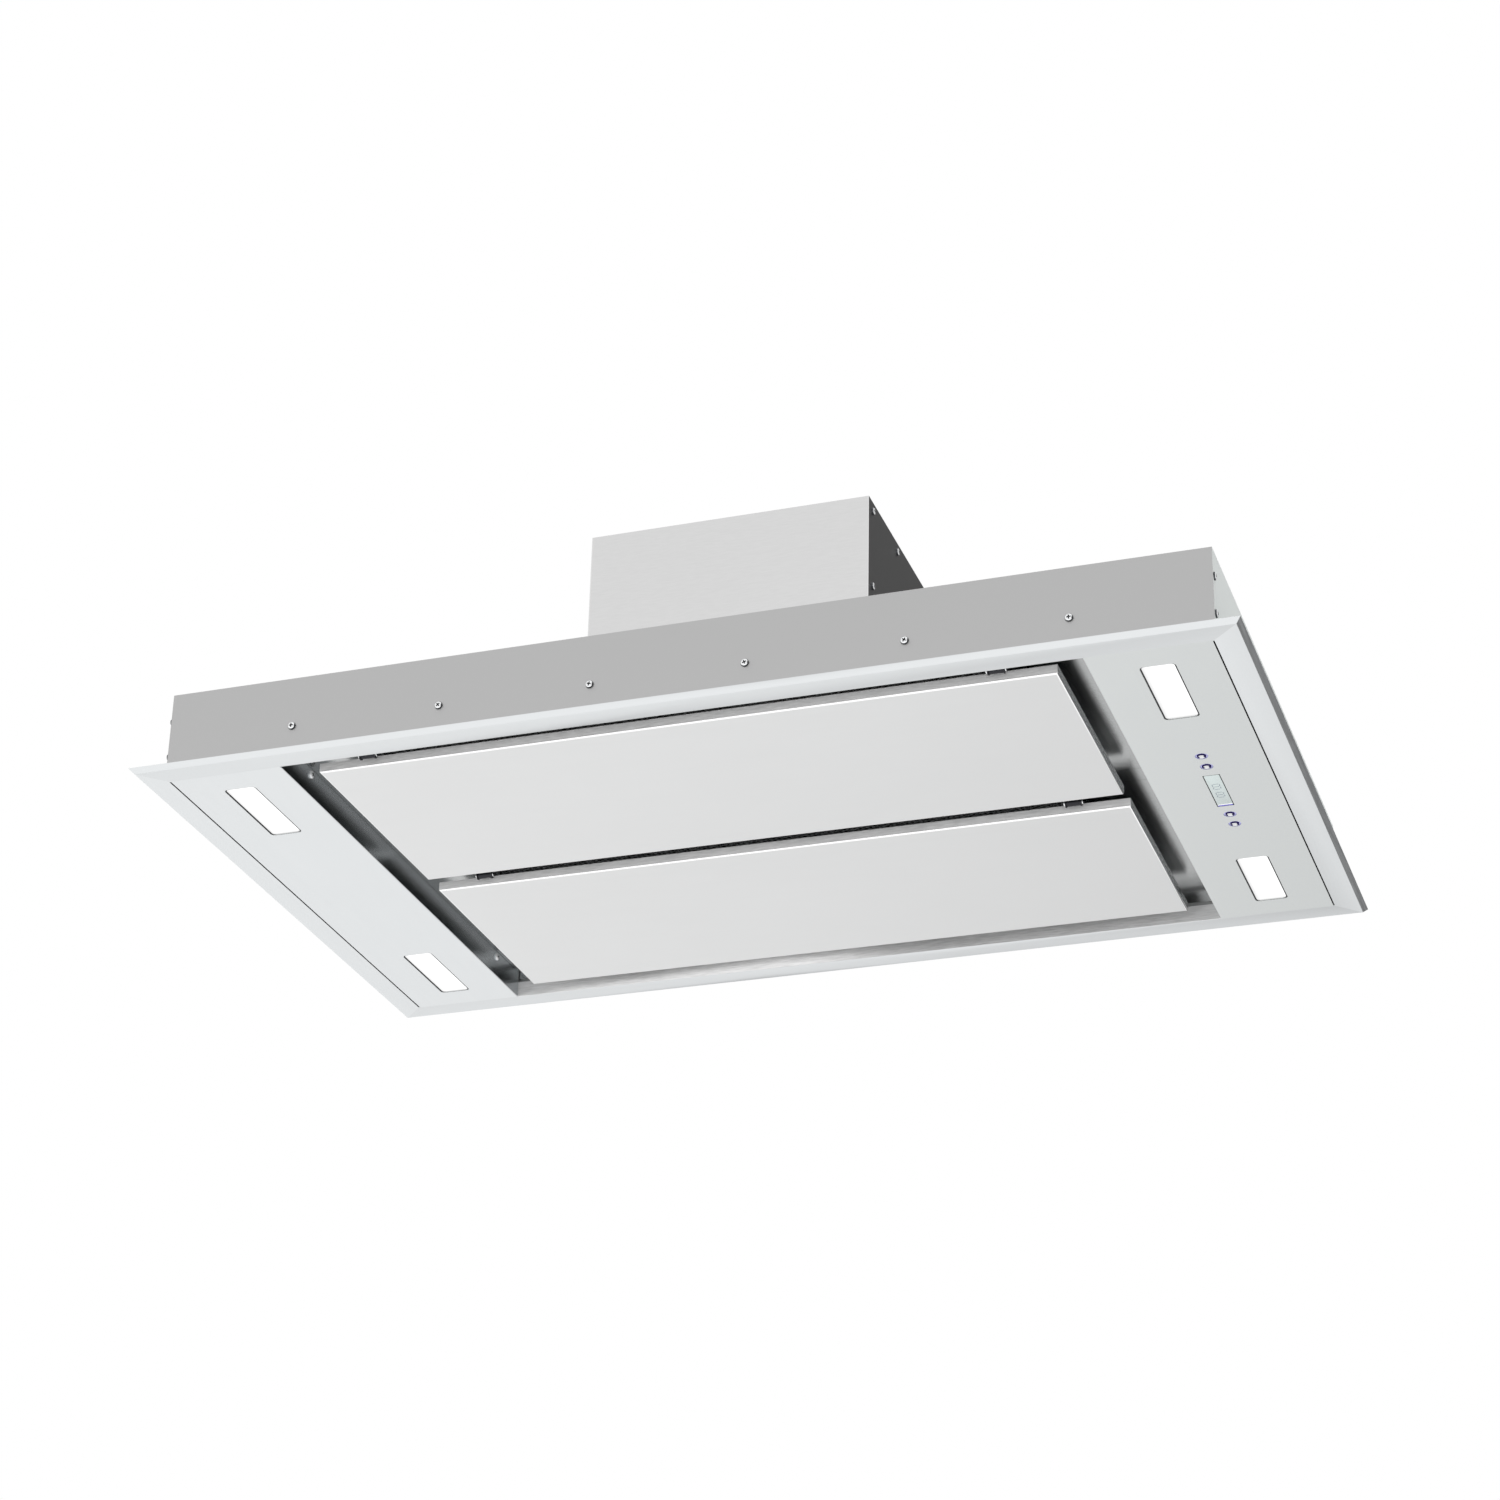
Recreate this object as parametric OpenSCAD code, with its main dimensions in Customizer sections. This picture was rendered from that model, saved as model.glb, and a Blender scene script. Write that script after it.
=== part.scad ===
// Ceiling range hood: a flanged box for a false ceiling, with two hinged suction panels,
// grease filters, lamps and push buttons below, and a centrifugal fan in a housing on top.
// X runs along the hood, Y from its front to its back. Heights (the names ending in level)
// are measured up from the flange's lower face, and the whole is then lowered, so that the
// origin is the centre of the hanging holes, on the casing's top face.

/* [Flange] */
// Length of the flange
flange_l = 1000; // [980:5:1080]
// Width of the flange
flange_w = 610; // [595:5:650]
// Width of the rim round the window
rim_w = 27.5; // [26:0.5:31]
// Height of the bevelled lip, which is as deep as it is high
lip_h = 4.5; // [3:0.5:8]
// Sheet of the flange, the end panels and the suction panels
face_t = 1; // [0.8:0.1:1.3]
// Height of the collar turned up round the window
collar_h = 16; // [13:0.5:17]

/* [Casing] */
// Height of the casing's top above the flange's lower face
casing_h = 85; // [80:1:105]
// Sheet of the casing and the motor housing
sheet_t = 1; // [0.8:0.1:1.3]
// Sheet of the rails and the brackets
rail_t = 1.5; // [1.2:0.1:1.8]
// Width of the flanges that the end walls are screwed to
return_w = 13; // [11:1:20]
// Distance of the hanging holes from the flange's ends
hang_in_x = 70; // [60:1:80]
// Distance of the hanging holes from the flange's long sides
hang_in_y = 65; // [55:1:85]
// Radius of the hanging holes, for M8 rods
hang_r = 4.5; // [4.25:0.05:5]

/* [Opening] */
// Length of the bay at each end of the window, which an end panel covers
end_bay_l = 109.5; // [102.5:0.5:117.5]
// Slot between a suction panel and the opening's end
end_slot = 26.5; // [24:0.5:36]
// Slot between a suction panel and the flange's collar
side_slot = 23; // [21:0.5:26]
// Slot between the two suction panels
mid_slot = 26; // [25:0.5:32]
// Depth of the suction panels' folded edge
panel_depth = 9; // [8:0.25:10]
// Distance of the hinges from the ends of the panel
hinge_in_x = 50.5; // [46.5:1:116.5]

/* [Lamps and controls] */
// Length of a lamp lens
lens_l = 100; // [80:2:116]
// Width of a lamp lens
lens_w = 30; // [24:1:36]
// Corner radius of a lamp lens
lens_r = 4; // [2:0.5:8]
// Distance of the lamps' middles from the window's long sides
lamp_in_y = 79.9; // [72.5:0.1:92.5]
// Radius of a push button
button_r = 4.5; // [4:0.1:5.5]
// Travel of a push button
button_travel = 1; // [0.6:0.1:1.2]
// Distance between two neighbouring buttons
button_pitch = 21.2; // [18:0.2:23]
// Length of the display window
display_l = 64.7; // [50:1:72]
// Width of the display window
display_w = 14.7; // [12:0.5:18]

/* [Filters] */
// Width of the plates beside the filters' ends, which carry them
end_plate_w = 75; // [60:1:90]
// Height of a grease filter
filter_h = 9; // [8:0.5:10]
// Width of a filter frame's flange
filter_rim = 14; // [12:1:18]
// Travel of a filter latch
latch_travel = 5; // [4.5:0.1:6]

/* [Motor housing and fan] */
// Side of the square motor housing
housing_side = 270; // [266:1:290]
// Height of the motor housing
housing_h = 189; // [186:1:220]
// Radius of the fan wheel
wheel_r = 75; // [70:1:77]
// Height of the fan wheel
wheel_h = 115; // [100:1:118]
// Number of blades on the fan wheel
blade_count = 36; // [24:1:42]
// Height of the scroll housing with its cover
scroll_h = 160; // [158:1:162]
// Radius of the motor
motor_r = 43; // [36:1:45]
// Outer radius of the outlet collar, for a 150 mm duct
outlet_r = 74.5; // [73:0.25:75]
// Length of the outlet collar past its flange
outlet_l = 50; // [40:1:70]
// Radius of the cable that the gland takes
cable_r = 4; // [3:0.25:5]

/* [Hidden] */
$fn = 48;

// Clearances and the overrun of every cut
seat_gap = 0.3;
hole_gap = 0.1;
pin_gap = 0.05;
over = 1;

// Shared screw, an M4 with a domed head and a cross recess
screw_r = 2;
screw_head_r = 3.7;
screw_head_h = 2.2;
screw_dome_r = 4.6;
recess_l = 4.2;
recess_w = 0.9;
recess_depth = 1.1;
screw_tail = 3;

// Frame and casing
window_l = flange_l - 2 * rim_w;
window_w = flange_w - 2 * rim_w;
opening_l = window_l - 2 * end_bay_l;
hang_l = flange_l - 2 * hang_in_x;
hang_w = flange_w - 2 * hang_in_y;
collar_x = window_l / 2 + face_t;
collar_y = window_w / 2 + face_t;
case_in_x = collar_x + seat_gap;
case_in_y = collar_y + rail_t + 2 * seat_gap;
case_out_x = case_in_x + sheet_t;
case_out_y = case_in_y + sheet_t;
case_ceiling_level = casing_h - sheet_t;
hook_level = collar_h + seat_gap;
return_level = hook_level + face_t + seat_gap;

// Rows of casing screws
wall_screw_count = 6;
wall_screw_end = 9.2;
wall_screw_level = 37.2;
corner_screw_in = 4.2;
corner_screw_low_level = 24.3;
corner_screw_high_level = 59.3;
hanger_side = 56;
hanger_corner_r = 6;
hanger_t = 3;

// End panels and bulkheads
groove = 1;
panel_x0 = opening_l / 2;
panel_x1 = window_l / 2 - groove;
panel_y1 = window_w / 2 - groove / 2;
panel_inner_fold_h = 30;
panel_side_fold_h = 10;
bulkhead_x = panel_x0 + face_t + seat_gap;
bulkhead_flange = 12;
well_screw_in_y = 59;
well_screw_y = window_w / 2 - well_screw_in_y;
well_screw_level = 20;
lamp_shift = 1.3;
lamp_x = (panel_x0 + panel_x1) / 2 + lamp_shift;
lamp_y = window_w / 2 - lamp_in_y;

// Rails
rail_foot_level = 20;
rail_top_level = 50;
shelf_level = 26;
mid_rail_inset = 1;
mid_rail_half = mid_slot / 2 - mid_rail_inset;
mid_rail_top_level = 45;
rail_end_x = panel_x0 - seat_gap;
wall_screw_pitch = 2 * (rail_end_x - wall_screw_end) / (wall_screw_count - 1);
tab_level = panel_inner_fold_h + seat_gap;
tab_half = 22;
tab_screw_y = 17;
tab_screw_level = 41;

// Suction panels
panel_l = opening_l - 2 * end_slot;
panel_w = (window_w - 2 * side_slot - mid_slot) / 2;
panel_face_level = 1.2;
panel_top_level = panel_face_level + panel_depth;
panel_fold = 9;
backing_t = 0.8;
backing_lap = 2;
front_edge_y = -mid_slot / 2 - panel_w;
back_edge_y = mid_slot / 2;

// Hinges
hinge_x = panel_l / 2 - hinge_in_x;
hinge_out = 8;
knuckle_r = 3.2;
knuckle_half = 6;
leaf_t = 1.2;
leaf_half = 8.5;
leaf_in = 8.5;
pin_r = 1.5;
pin_head_r = 2.4;
pin_head_h = 1;
ear_r = 4;
ear_t = 1.2;
base_half_x = 9;
base_half_y = 5;
axis_level = panel_top_level + leaf_t - knuckle_r;
front_axis_y = front_edge_y - hinge_out;
back_axis_y = back_edge_y - hinge_out;
shelf_in_y = -front_axis_y - base_half_y;

// Magnetic catches
catch_in_x = 106.5;
catch_x = panel_l / 2 - catch_in_x;
catch_half = 10;
magnet_l = 10;
magnet_h = 5.5;
magnet_in = 1;
catch_arm_t = 1.2;
catch_foot = 4.8;
catch_hang_in = 6;
magnet_level = panel_top_level + seat_gap;

// Filters and their latches
filter_side_gap = 1.5;
filter_wall = 1;
filter_level = shelf_level + rail_t + seat_gap;
filter_top_level = filter_level + filter_h;
filter_end_lap = 12;
filter_x = rail_end_x - end_plate_w + filter_end_lap;
filter_out_y = collar_y + seat_gap - filter_side_gap;
filter_in_y = mid_rail_half + seat_gap;
mesh_gap = 0.2;
slit_pitch_x = 36;
slit_pitch_y = 24;
slit_share = 0.38;
latch_half = 22;
latch_wing = 2;
latch_l = 18;
latch_grip_half = 12;
latch_grip_t = 3;
latch_grip_h = 6;
latch_tongue_half = 10;
latch_tongue_l = 5;
latch_pad_half = 30;
latch_wall = 2;
latch_low_rise = 0.8;
latch_wing_rise = 3.2;
latch_top_rise = 6.2;
tongue_low_rise = 1.8;
tongue_top_rise = 4.4;
latch_low_level = filter_level + latch_low_rise;
latch_wing_level = filter_level + latch_wing_rise;
latch_top_level = filter_level + latch_top_rise;
tongue_low_level = filter_level + tongue_low_rise;
tongue_top_level = filter_level + tongue_top_rise;

// Lamps
lens_t = 2;
lens_lip = 2;
lens_lip_t = 1;
lamp_wall = 1.5;
lamp_h = 19;
lamp_fin_count = 7;
lamp_fin_h = 6;
lamp_fin_t = 1.6;
board_t = 1.6;
led_side = 2.8;
led_h = 0.8;
led_count = 10;
led_end_gap = 11;
driver_l = 120;
driver_w = 42;
driver_h = 24;
driver_foot = 12;

// Controls
ring_t = 0.9;
ring_h = 2.4;
button_dome = 0.7;
button_lip = 1;
button_lip_h = 1;
button_stem_r = 2;
button_stem_h = 2;
first_button_y = 50.5;
control_half_x = 19;
control_half_y = 90;
control_wall = 1.6;
control_h = 18;
control_board_level = 9.5;
display_t = 2.4;
switch_side = 6;

// Motor housing
housing_half = housing_side / 2;
housing_top_level = casing_h + housing_h;
housing_in = housing_half - sheet_t;
side_return_w = 18;
base_flange = 15;
housing_screw_in = 12;
housing_screw_top_in = 10;
housing_screw_drop = 78;
housing_screw_rows = 3;
housing_screw_mid_y = 45;
base_screw_x = 92;

// Scroll, drawn as a spiral that opens into a straight outlet
scroll_t = 2;
scroll_gap = 2;
outlet_side_gap = 14;
tongue_gap = 7;
tongue_a = 55;
spiral_steps = 48;
collar_t = 1.5;
outlet_in_r = outlet_r - collar_t;
spiral_r0 = wheel_r + tongue_gap;
outlet_wall_x = housing_in - outlet_side_gap - scroll_t;
outlet_x = outlet_wall_x - outlet_in_r;
fan_x = -14;
spiral_r1 = outlet_wall_x - fan_x;
function spiral_r(a) = spiral_r0 + (spiral_r1 - spiral_r0) * (a - tongue_a) / (360 - tongue_a);
fan_y = scroll_t + scroll_gap + spiral_r(270) - housing_in;
outlet_level = casing_h + scroll_h / 2;
scroll_end_y = housing_in - seat_gap;

// Fan wheel, motor and inlet ring
inlet_hole_r = 80;
inlet_flange_r = 92;
inlet_throat_r = 57;
inlet_t = 1.2;
inlet_rise = 20;
wheel_rise = 15;
wheel_level = casing_h + wheel_rise;
blade_depth = 14;
blade_in_r = wheel_r - blade_depth;
blade_t = 1;
blade_curve_r = 11;
wheel_ring_t = 1.5;
cup_gap = 6;
cup_r = motor_r + cup_gap;
cup_t = 2;
cup_rise = 62;
cup_floor_level = wheel_level + cup_rise;
hub_r = 12;
hub_h = 12;
shaft_r = 4;
nut_r = 8;
nut_h = 4;
motor_rise = 5;
motor_drop = 8;
motor_level = cup_floor_level + cup_t + motor_rise;
motor_cap_level = casing_h + scroll_h - scroll_t - motor_drop;
motor_arm_r = 58;
motor_arm_w = 14;
motor_arm_t = 3;
motor_groove = 2;
motor_groove_shares = [0.3, 0.45, 0.6];
damper_r = 7;
shaft_short = 8;
shaft_top_level = motor_cap_level - shaft_short;
capacitor_r = 11;
capacitor_l = 62;
capacitor_x = 70;

// Outlet collar and its flaps
collar_lip = 3.5;
collar_flange_r = outlet_r + collar_lip;
collar_flange_t = 2;
collar_ear_r = 7;
collar_ear_out = 9;
collar_ear_at = outlet_r + collar_ear_out;
spindle_out = 11;
spindle_y = housing_half + spindle_out;
spindle_r = 1.5;
flap_gap = 1.5;
flap_r = outlet_in_r - flap_gap;
flap_t = 1.2;
flap_knuckle_r = 3;
flap_start = 3.7;
flap_knuckle_l = 14;
right_knuckle_shares = [-0.55, 0.3];
left_knuckle_shares = [-0.3, 0.55];
stop_w = 5;
stop_t = 1.5;

// Terminal box
terminal_out_x = 45;
terminal_in_y = 47.6;
terminal_l = 96;
terminal_w = 66;
terminal_x = housing_half + terminal_out_x;
terminal_y = case_out_y - terminal_in_y - terminal_w;
terminal_h = 40;
terminal_wall = 2;
terminal_lid_t = 2.5;
wire_hole_r = 10;
gland_hex_r = 13.5;
gland_hex_l = 5;
gland_dome_r = 12;
gland_dome_l = 14;
gland_level = 20;

stainless = "#d6d9da";
galvanised = "#b9bcbf";
dark_plastic = "#26282b";
lit_white = "#ffffff";
blued = "#6f747a";

// Shared forms

module lowered() {
    translate([0, 0, -casing_h]) children();
}

module on_both_ends() {
    children();
    mirror([1, 0, 0]) children();
}

module on_both_sides() {
    children();
    mirror([0, 1, 0]) children();
}

// A block between two corners
module block(x0, x1, y0, y1, z0, z1) {
    translate([x0, y0, z0]) cube([x1 - x0, y1 - y0, z1 - z0]);
}

module rounded_outline(l, w, r) {
    square([l - 2 * r, w], center = true);
    square([l, w - 2 * r], center = true);
    for (sx = [-1, 1], sy = [-1, 1]) {
        translate([sx * (l / 2 - r), sy * (w / 2 - r)]) circle(r);
    }
}

// A pan-head screw that points down, its head seated on height zero
module pan_screw(grip) {
    difference() {
        intersection() {
            translate([0, 0, screw_head_h - screw_dome_r]) sphere(screw_dome_r);
            cylinder(r = screw_head_r, h = screw_head_h);
        }
        for (turn = [0, 90]) {
            rotate([0, 0, turn]) {
                translate([-recess_l / 2, -recess_w / 2, screw_head_h - recess_depth]) {
                    cube([recess_l, recess_w, recess_depth + over]);
                }
            }
        }
    }
    translate([0, 0, -grip - screw_tail]) cylinder(r = screw_r, h = grip + screw_tail);
}

// A hole for that screw, through a sheet whose outer face is at height zero
module screw_hole(depth) {
    translate([0, 0, -depth - over]) cylinder(r = screw_r + hole_gap, h = depth + 2 * over);
}

// Places for the screws: each turns its child to point out of the face it is on

module at_wall_screws() {
    for (i = [0 : wall_screw_count - 1]) {
        x = (i - (wall_screw_count - 1) / 2) * wall_screw_pitch;
        translate([x, -case_out_y, wall_screw_level]) rotate([90, 0, 0]) children();
    }
}

module at_corner_screws() {
    for (side = [-1, 1], level = [corner_screw_low_level, corner_screw_high_level]) {
        y = side * (case_out_y - corner_screw_in);
        translate([case_out_x, y, level]) rotate([0, 90, 0]) children();
    }
}

module at_well_screws() {
    for (side = [-1, 1]) {
        translate([panel_x0, side * well_screw_y, well_screw_level]) {
            rotate([0, -90, 0]) children();
        }
    }
}

module at_tab_screws() {
    for (side = [-1, 1]) {
        translate([bulkhead_x, side * tab_screw_y, tab_screw_level]) {
            rotate([0, -90, 0]) children();
        }
    }
}

module at_side_screws() {
    row_y = housing_half - housing_screw_in;
    top = housing_top_level - housing_screw_top_in;
    for (y = [-row_y, -housing_screw_mid_y, housing_screw_mid_y, row_y]) {
        translate([housing_half, y, top]) rotate([0, 90, 0]) children();
    }
    for (side = [-1, 1], row = [1 : housing_screw_rows - 1]) {
        level = top - row * housing_screw_drop;
        translate([housing_half, side * row_y, level]) rotate([0, 90, 0]) children();
    }
}

module at_base_screws() {
    for (side = [-1, 1]) {
        y = -housing_half - base_flange / 2;
        translate([side * base_screw_x, y, casing_h + sheet_t]) children();
    }
}

module at_collar_screws() {
    for (turn = [45 : 90 : 315]) {
        translate([outlet_x, housing_half + collar_flange_t, outlet_level]) {
            rotate([-90, 0, 0]) {
                translate([collar_ear_at * cos(turn), collar_ear_at * sin(turn), 0]) children();
            }
        }
    }
}

module at_hangers() {
    for (sx = [-1, 1], sy = [-1, 1]) {
        translate([sx * hang_l / 2, sy * hang_w / 2, 0]) children();
    }
}

module at_lamps() {
    for (sx = [-1, 1], sy = [-1, 1]) {
        translate([sx * lamp_x, sy * lamp_y, 0]) children();
    }
}

// Frame and end panels

// Section of the frame's sheet: collar, flat rim and bevelled lip
function frame_section() = [
    [0, 0], [rim_w - lip_h, 0], [rim_w, lip_h], [rim_w - face_t * sqrt(2), lip_h],
    [rim_w - lip_h - face_t * (sqrt(2) - 1), face_t], [face_t, face_t],
    [face_t, collar_h], [0, collar_h]
];

// One side of the frame, mitred at both ends
module frame_side(length) {
    intersection() {
        rotate([90, 0, 90]) {
            linear_extrude(height = length, center = true) polygon(frame_section());
        }
        translate([0, 0, -over]) {
            linear_extrude(height = collar_h + 2 * over) {
                polygon([
                    [-length / 2, rim_w], [length / 2, rim_w],
                    [length / 2 - rim_w, 0], [rim_w - length / 2, 0]
                ]);
            }
        }
    }
}

module bottom_frame() {
    color(stainless) lowered() {
        on_both_sides() translate([0, window_w / 2, 0]) frame_side(flange_l);
        on_both_ends() translate([window_l / 2, 0, 0]) rotate([0, 0, -90]) frame_side(flange_w);
    }
}

// The folded sheet of an end panel on the right, before its cut-outs
module end_panel_sheet() {
    fold_x = panel_x1 - face_t;
    fold_y = panel_y1 - face_t;
    block(panel_x0, panel_x1, -panel_y1, panel_y1, 0, face_t);
    block(panel_x0, panel_x0 + face_t, -panel_y1, panel_y1, 0, panel_inner_fold_h);
    block(fold_x, panel_x1, -panel_y1, panel_y1, 0, hook_level + face_t);
    block(fold_x, collar_x - hole_gap, -panel_y1, panel_y1, hook_level, hook_level + face_t);
    on_both_sides() {
        start_x = bulkhead_x + sheet_t + groove;
        block(start_x, panel_x1, fold_y, panel_y1, 0, panel_side_fold_h);
    }
}

module lens_cuts() {
    for (side = [-1, 1]) {
        translate([lamp_x, side * lamp_y, -over]) {
            linear_extrude(height = face_t + 2 * over) {
                rounded_outline(lens_w + 2 * seat_gap, lens_l + 2 * seat_gap, lens_r + seat_gap);
            }
        }
    }
}

module left_end_panel() {
    color(stainless) lowered() mirror([1, 0, 0]) {
        difference() {
            end_panel_sheet();
            lens_cuts();
            at_well_screws() screw_hole(face_t);
        }
    }
}

module right_control_panel() {
    cut_r = button_r + pin_gap + ring_t + seat_gap;
    color(stainless) lowered() {
        difference() {
            end_panel_sheet();
            lens_cuts();
            at_well_screws() screw_hole(face_t);
            at_buttons() translate([0, 0, -over]) cylinder(r = cut_r, h = face_t + 2 * over);
            translate([lamp_x, 0, 0]) {
                block(-display_w / 2 - seat_gap, display_w / 2 + seat_gap,
                    -display_l / 2 - seat_gap, display_l / 2 + seat_gap, -over, face_t + over);
            }
        }
    }
}

// Bulkheads: a web notched over the collar, with flanges turned to the end bay
module bulkhead() {
    low_y = window_w / 2 - seat_gap;
    high_y = case_in_y - seat_gap;
    notch_level = collar_h + seat_gap;
    top_level = case_ceiling_level - seat_gap;
    difference() {
        translate([bulkhead_x, 0, 0]) rotate([90, 0, 90]) linear_extrude(height = sheet_t) {
            polygon([
                [-low_y, face_t + seat_gap], [low_y, face_t + seat_gap],
                [low_y, notch_level], [high_y, notch_level], [high_y, top_level],
                [-high_y, top_level], [-high_y, notch_level], [-low_y, notch_level]
            ]);
        }
        at_well_screws() screw_hole(face_t + seat_gap + sheet_t);
        at_tab_screws() screw_hole(sheet_t);
    }
    flange_x = bulkhead_x + bulkhead_flange;
    block(bulkhead_x, flange_x, -high_y, high_y, top_level - sheet_t, top_level);
    on_both_sides() {
        block(bulkhead_x, flange_x, high_y - sheet_t, high_y, return_level, top_level);
    }
}

module bulkheads() {
    color(galvanised) lowered() on_both_ends() bulkhead();
}

// Casing: top and long walls folded from one sheet
module casing() {
    color(stainless) lowered() {
        difference() {
            union() {
                block(-case_in_x, case_in_x, -case_out_y, case_out_y,
                    case_ceiling_level, casing_h);
                on_both_sides() {
                    block(-case_in_x, case_in_x, case_in_y, case_out_y, face_t, casing_h);
                }
            }
            on_both_sides() at_wall_screws() screw_hole(sheet_t);
            on_both_sides() at_base_screws() screw_hole(2 * sheet_t);
            translate([0, 0, case_ceiling_level - over]) {
                at_hangers() cylinder(r = hang_r, h = sheet_t + 2 * over);
                translate([fan_x, fan_y, 0]) cylinder(r = inlet_hole_r, h = sheet_t + 2 * over);
                translate([terminal_x + terminal_l / 2, terminal_y + terminal_w / 2, 0]) {
                    cylinder(r = wire_hole_r, h = sheet_t + 2 * over);
                }
            }
        }
    }
}

// End frames: a flange round three sides of each end, which an end wall is screwed to
module end_frames() {
    flange_x = case_in_x - sheet_t;
    color(stainless) lowered() on_both_ends() difference() {
        union() {
            on_both_sides() {
                block(flange_x, case_in_x, case_in_y - return_w, case_in_y,
                    return_level, case_ceiling_level);
            }
            block(flange_x, case_in_x, -case_in_y, case_in_y,
                casing_h - return_w, case_ceiling_level);
        }
        at_corner_screws() screw_hole(2 * sheet_t);
    }
}

module end_wall() {
    difference() {
        block(case_in_x, case_out_x, -case_out_y, case_out_y, face_t, casing_h);
        at_corner_screws() screw_hole(sheet_t);
    }
}

module end_walls() {
    color(stainless) lowered() on_both_ends() end_wall();
}

module hanger_plates() {
    color(galvanised) lowered() {
        at_hangers() translate([0, 0, case_ceiling_level - hanger_t]) difference() {
            linear_extrude(height = hanger_t) {
                rounded_outline(hanger_side, hanger_side, hanger_corner_r);
            }
            translate([0, 0, -over]) cylinder(r = hang_r, h = hanger_t + 2 * over);
        }
    }
}

module casing_screws() {
    color(blued) lowered() {
        on_both_sides() at_wall_screws() pan_screw(sheet_t);
        on_both_ends() at_corner_screws() pan_screw(sheet_t);
    }
}

module well_screws() {
    color(blued) lowered() {
        on_both_ends() at_well_screws() pan_screw(face_t);
        on_both_ends() at_tab_screws() translate([0, 0, rail_t]) pan_screw(rail_t);
    }
}

// Rails

// Front rail: a leg behind the wall screws and a shelf that a filter's edge rests on, with a
// plate at each end that reaches to the centre rail and carries the filter's end
module side_rail() {
    leg_out = collar_y + seat_gap + rail_t;
    leg_in = collar_y + seat_gap;
    difference() {
        union() {
            block(-rail_end_x, rail_end_x, -leg_out, -leg_in, rail_foot_level, rail_top_level);
            block(-rail_end_x, rail_end_x, -leg_out, -shelf_in_y,
                shelf_level, shelf_level + rail_t);
            on_both_ends() {
                block(rail_end_x - end_plate_w, rail_end_x, -leg_out,
                    -mid_rail_half - seat_gap, shelf_level, shelf_level + rail_t);
            }
        }
        at_wall_screws() screw_hole(sheet_t + seat_gap + rail_t);
    }
}

module front_rail() {
    color(galvanised) lowered() side_rail();
}

module back_rail() {
    color(galvanised) lowered() mirror([0, 1, 0]) side_rail();
}

// Centre rail: a channel between the filters, with a slot for each latch and screwed tabs
module centre_rail() {
    slot_half = latch_tongue_half + seat_gap;
    color(galvanised) lowered() {
        difference() {
            union() {
                block(-rail_end_x, rail_end_x, -mid_rail_half, mid_rail_half,
                    shelf_level, shelf_level + rail_t);
                on_both_sides() {
                    block(-rail_end_x, rail_end_x, mid_rail_half - rail_t, mid_rail_half,
                        shelf_level, mid_rail_top_level);
                    block(-bulkhead_x, bulkhead_x, mid_rail_half - rail_t, mid_rail_half,
                        tab_level, mid_rail_top_level);
                }
                on_both_ends() {
                    block(bulkhead_x - rail_t, bulkhead_x, -tab_half, tab_half,
                        tab_level, mid_rail_top_level);
                }
            }
            on_both_sides() {
                block(-slot_half, slot_half, mid_rail_half - rail_t - over, mid_rail_half + over,
                    tongue_low_level - seat_gap, tongue_top_level + seat_gap);
            }
            on_both_ends() at_tab_screws() translate([0, 0, rail_t]) screw_hole(rail_t);
        }
    }
}

// Hinges

// Calls its child at each hinge axis, hung from the given height
module at_hinges(axis_y) {
    for (side = [-1, 1]) translate([side * hinge_x, axis_y, axis_level]) children();
}

// A clevis with its base under a rail, seen from its pin
module hinge_clevis(hang_level) {
    rise = hang_level - axis_level;
    ear_x = knuckle_half + seat_gap;
    block(-base_half_x, base_half_x, -base_half_y, base_half_y, rise - rail_t, rise);
    on_both_ends() difference() {
        union() {
            block(ear_x, ear_x + ear_t, -ear_r, ear_r, 0, rise - rail_t / 2);
            translate([ear_x, 0, 0]) rotate([0, 90, 0]) cylinder(r = ear_r, h = ear_t);
        }
        translate([ear_x - over, 0, 0]) rotate([0, 90, 0]) {
            cylinder(r = pin_r + pin_gap, h = ear_t + 2 * over);
        }
    }
}

module hinge_brackets() {
    color(blued) lowered() {
        at_hinges(front_axis_y) hinge_clevis(shelf_level);
        at_hinges(back_axis_y) hinge_clevis(shelf_level);
    }
}

module hinge_pin() {
    reach = knuckle_half + 2 * seat_gap + ear_t;
    rotate([0, 90, 0]) {
        cylinder(r = pin_r, h = 2 * reach, center = true);
        translate([0, 0, reach]) cylinder(r = pin_head_r, h = pin_head_h);
        translate([0, 0, -reach - pin_head_h]) cylinder(r = pin_head_r, h = pin_head_h);
    }
}

module hinge_pins() {
    color(blued) lowered() {
        at_hinges(front_axis_y) hinge_pin();
        at_hinges(back_axis_y) hinge_pin();
    }
}

// A leaf that lies on the panel's fold and curls round the pin
module hinge_leaf() {
    leaf_level = panel_top_level - axis_level;
    wide_y = ear_r + groove;
    difference() {
        union() {
            block(-knuckle_half, knuckle_half, 0, hinge_out + leaf_in,
                leaf_level, leaf_level + leaf_t);
            block(-leaf_half, leaf_half, wide_y, hinge_out + leaf_in,
                leaf_level, leaf_level + leaf_t);
            rotate([0, 90, 0]) cylinder(r = knuckle_r, h = 2 * knuckle_half, center = true);
        }
        rotate([0, 90, 0]) {
            cylinder(r = pin_r + pin_gap, h = 2 * (knuckle_half + over), center = true);
        }
    }
}

module front_hinge_leaves() {
    color(galvanised) lowered() at_hinges(front_axis_y) hinge_leaf();
}

module back_hinge_leaves() {
    color(galvanised) lowered() at_hinges(back_axis_y) hinge_leaf();
}

// Magnetic catches over the edge that swings

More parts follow.
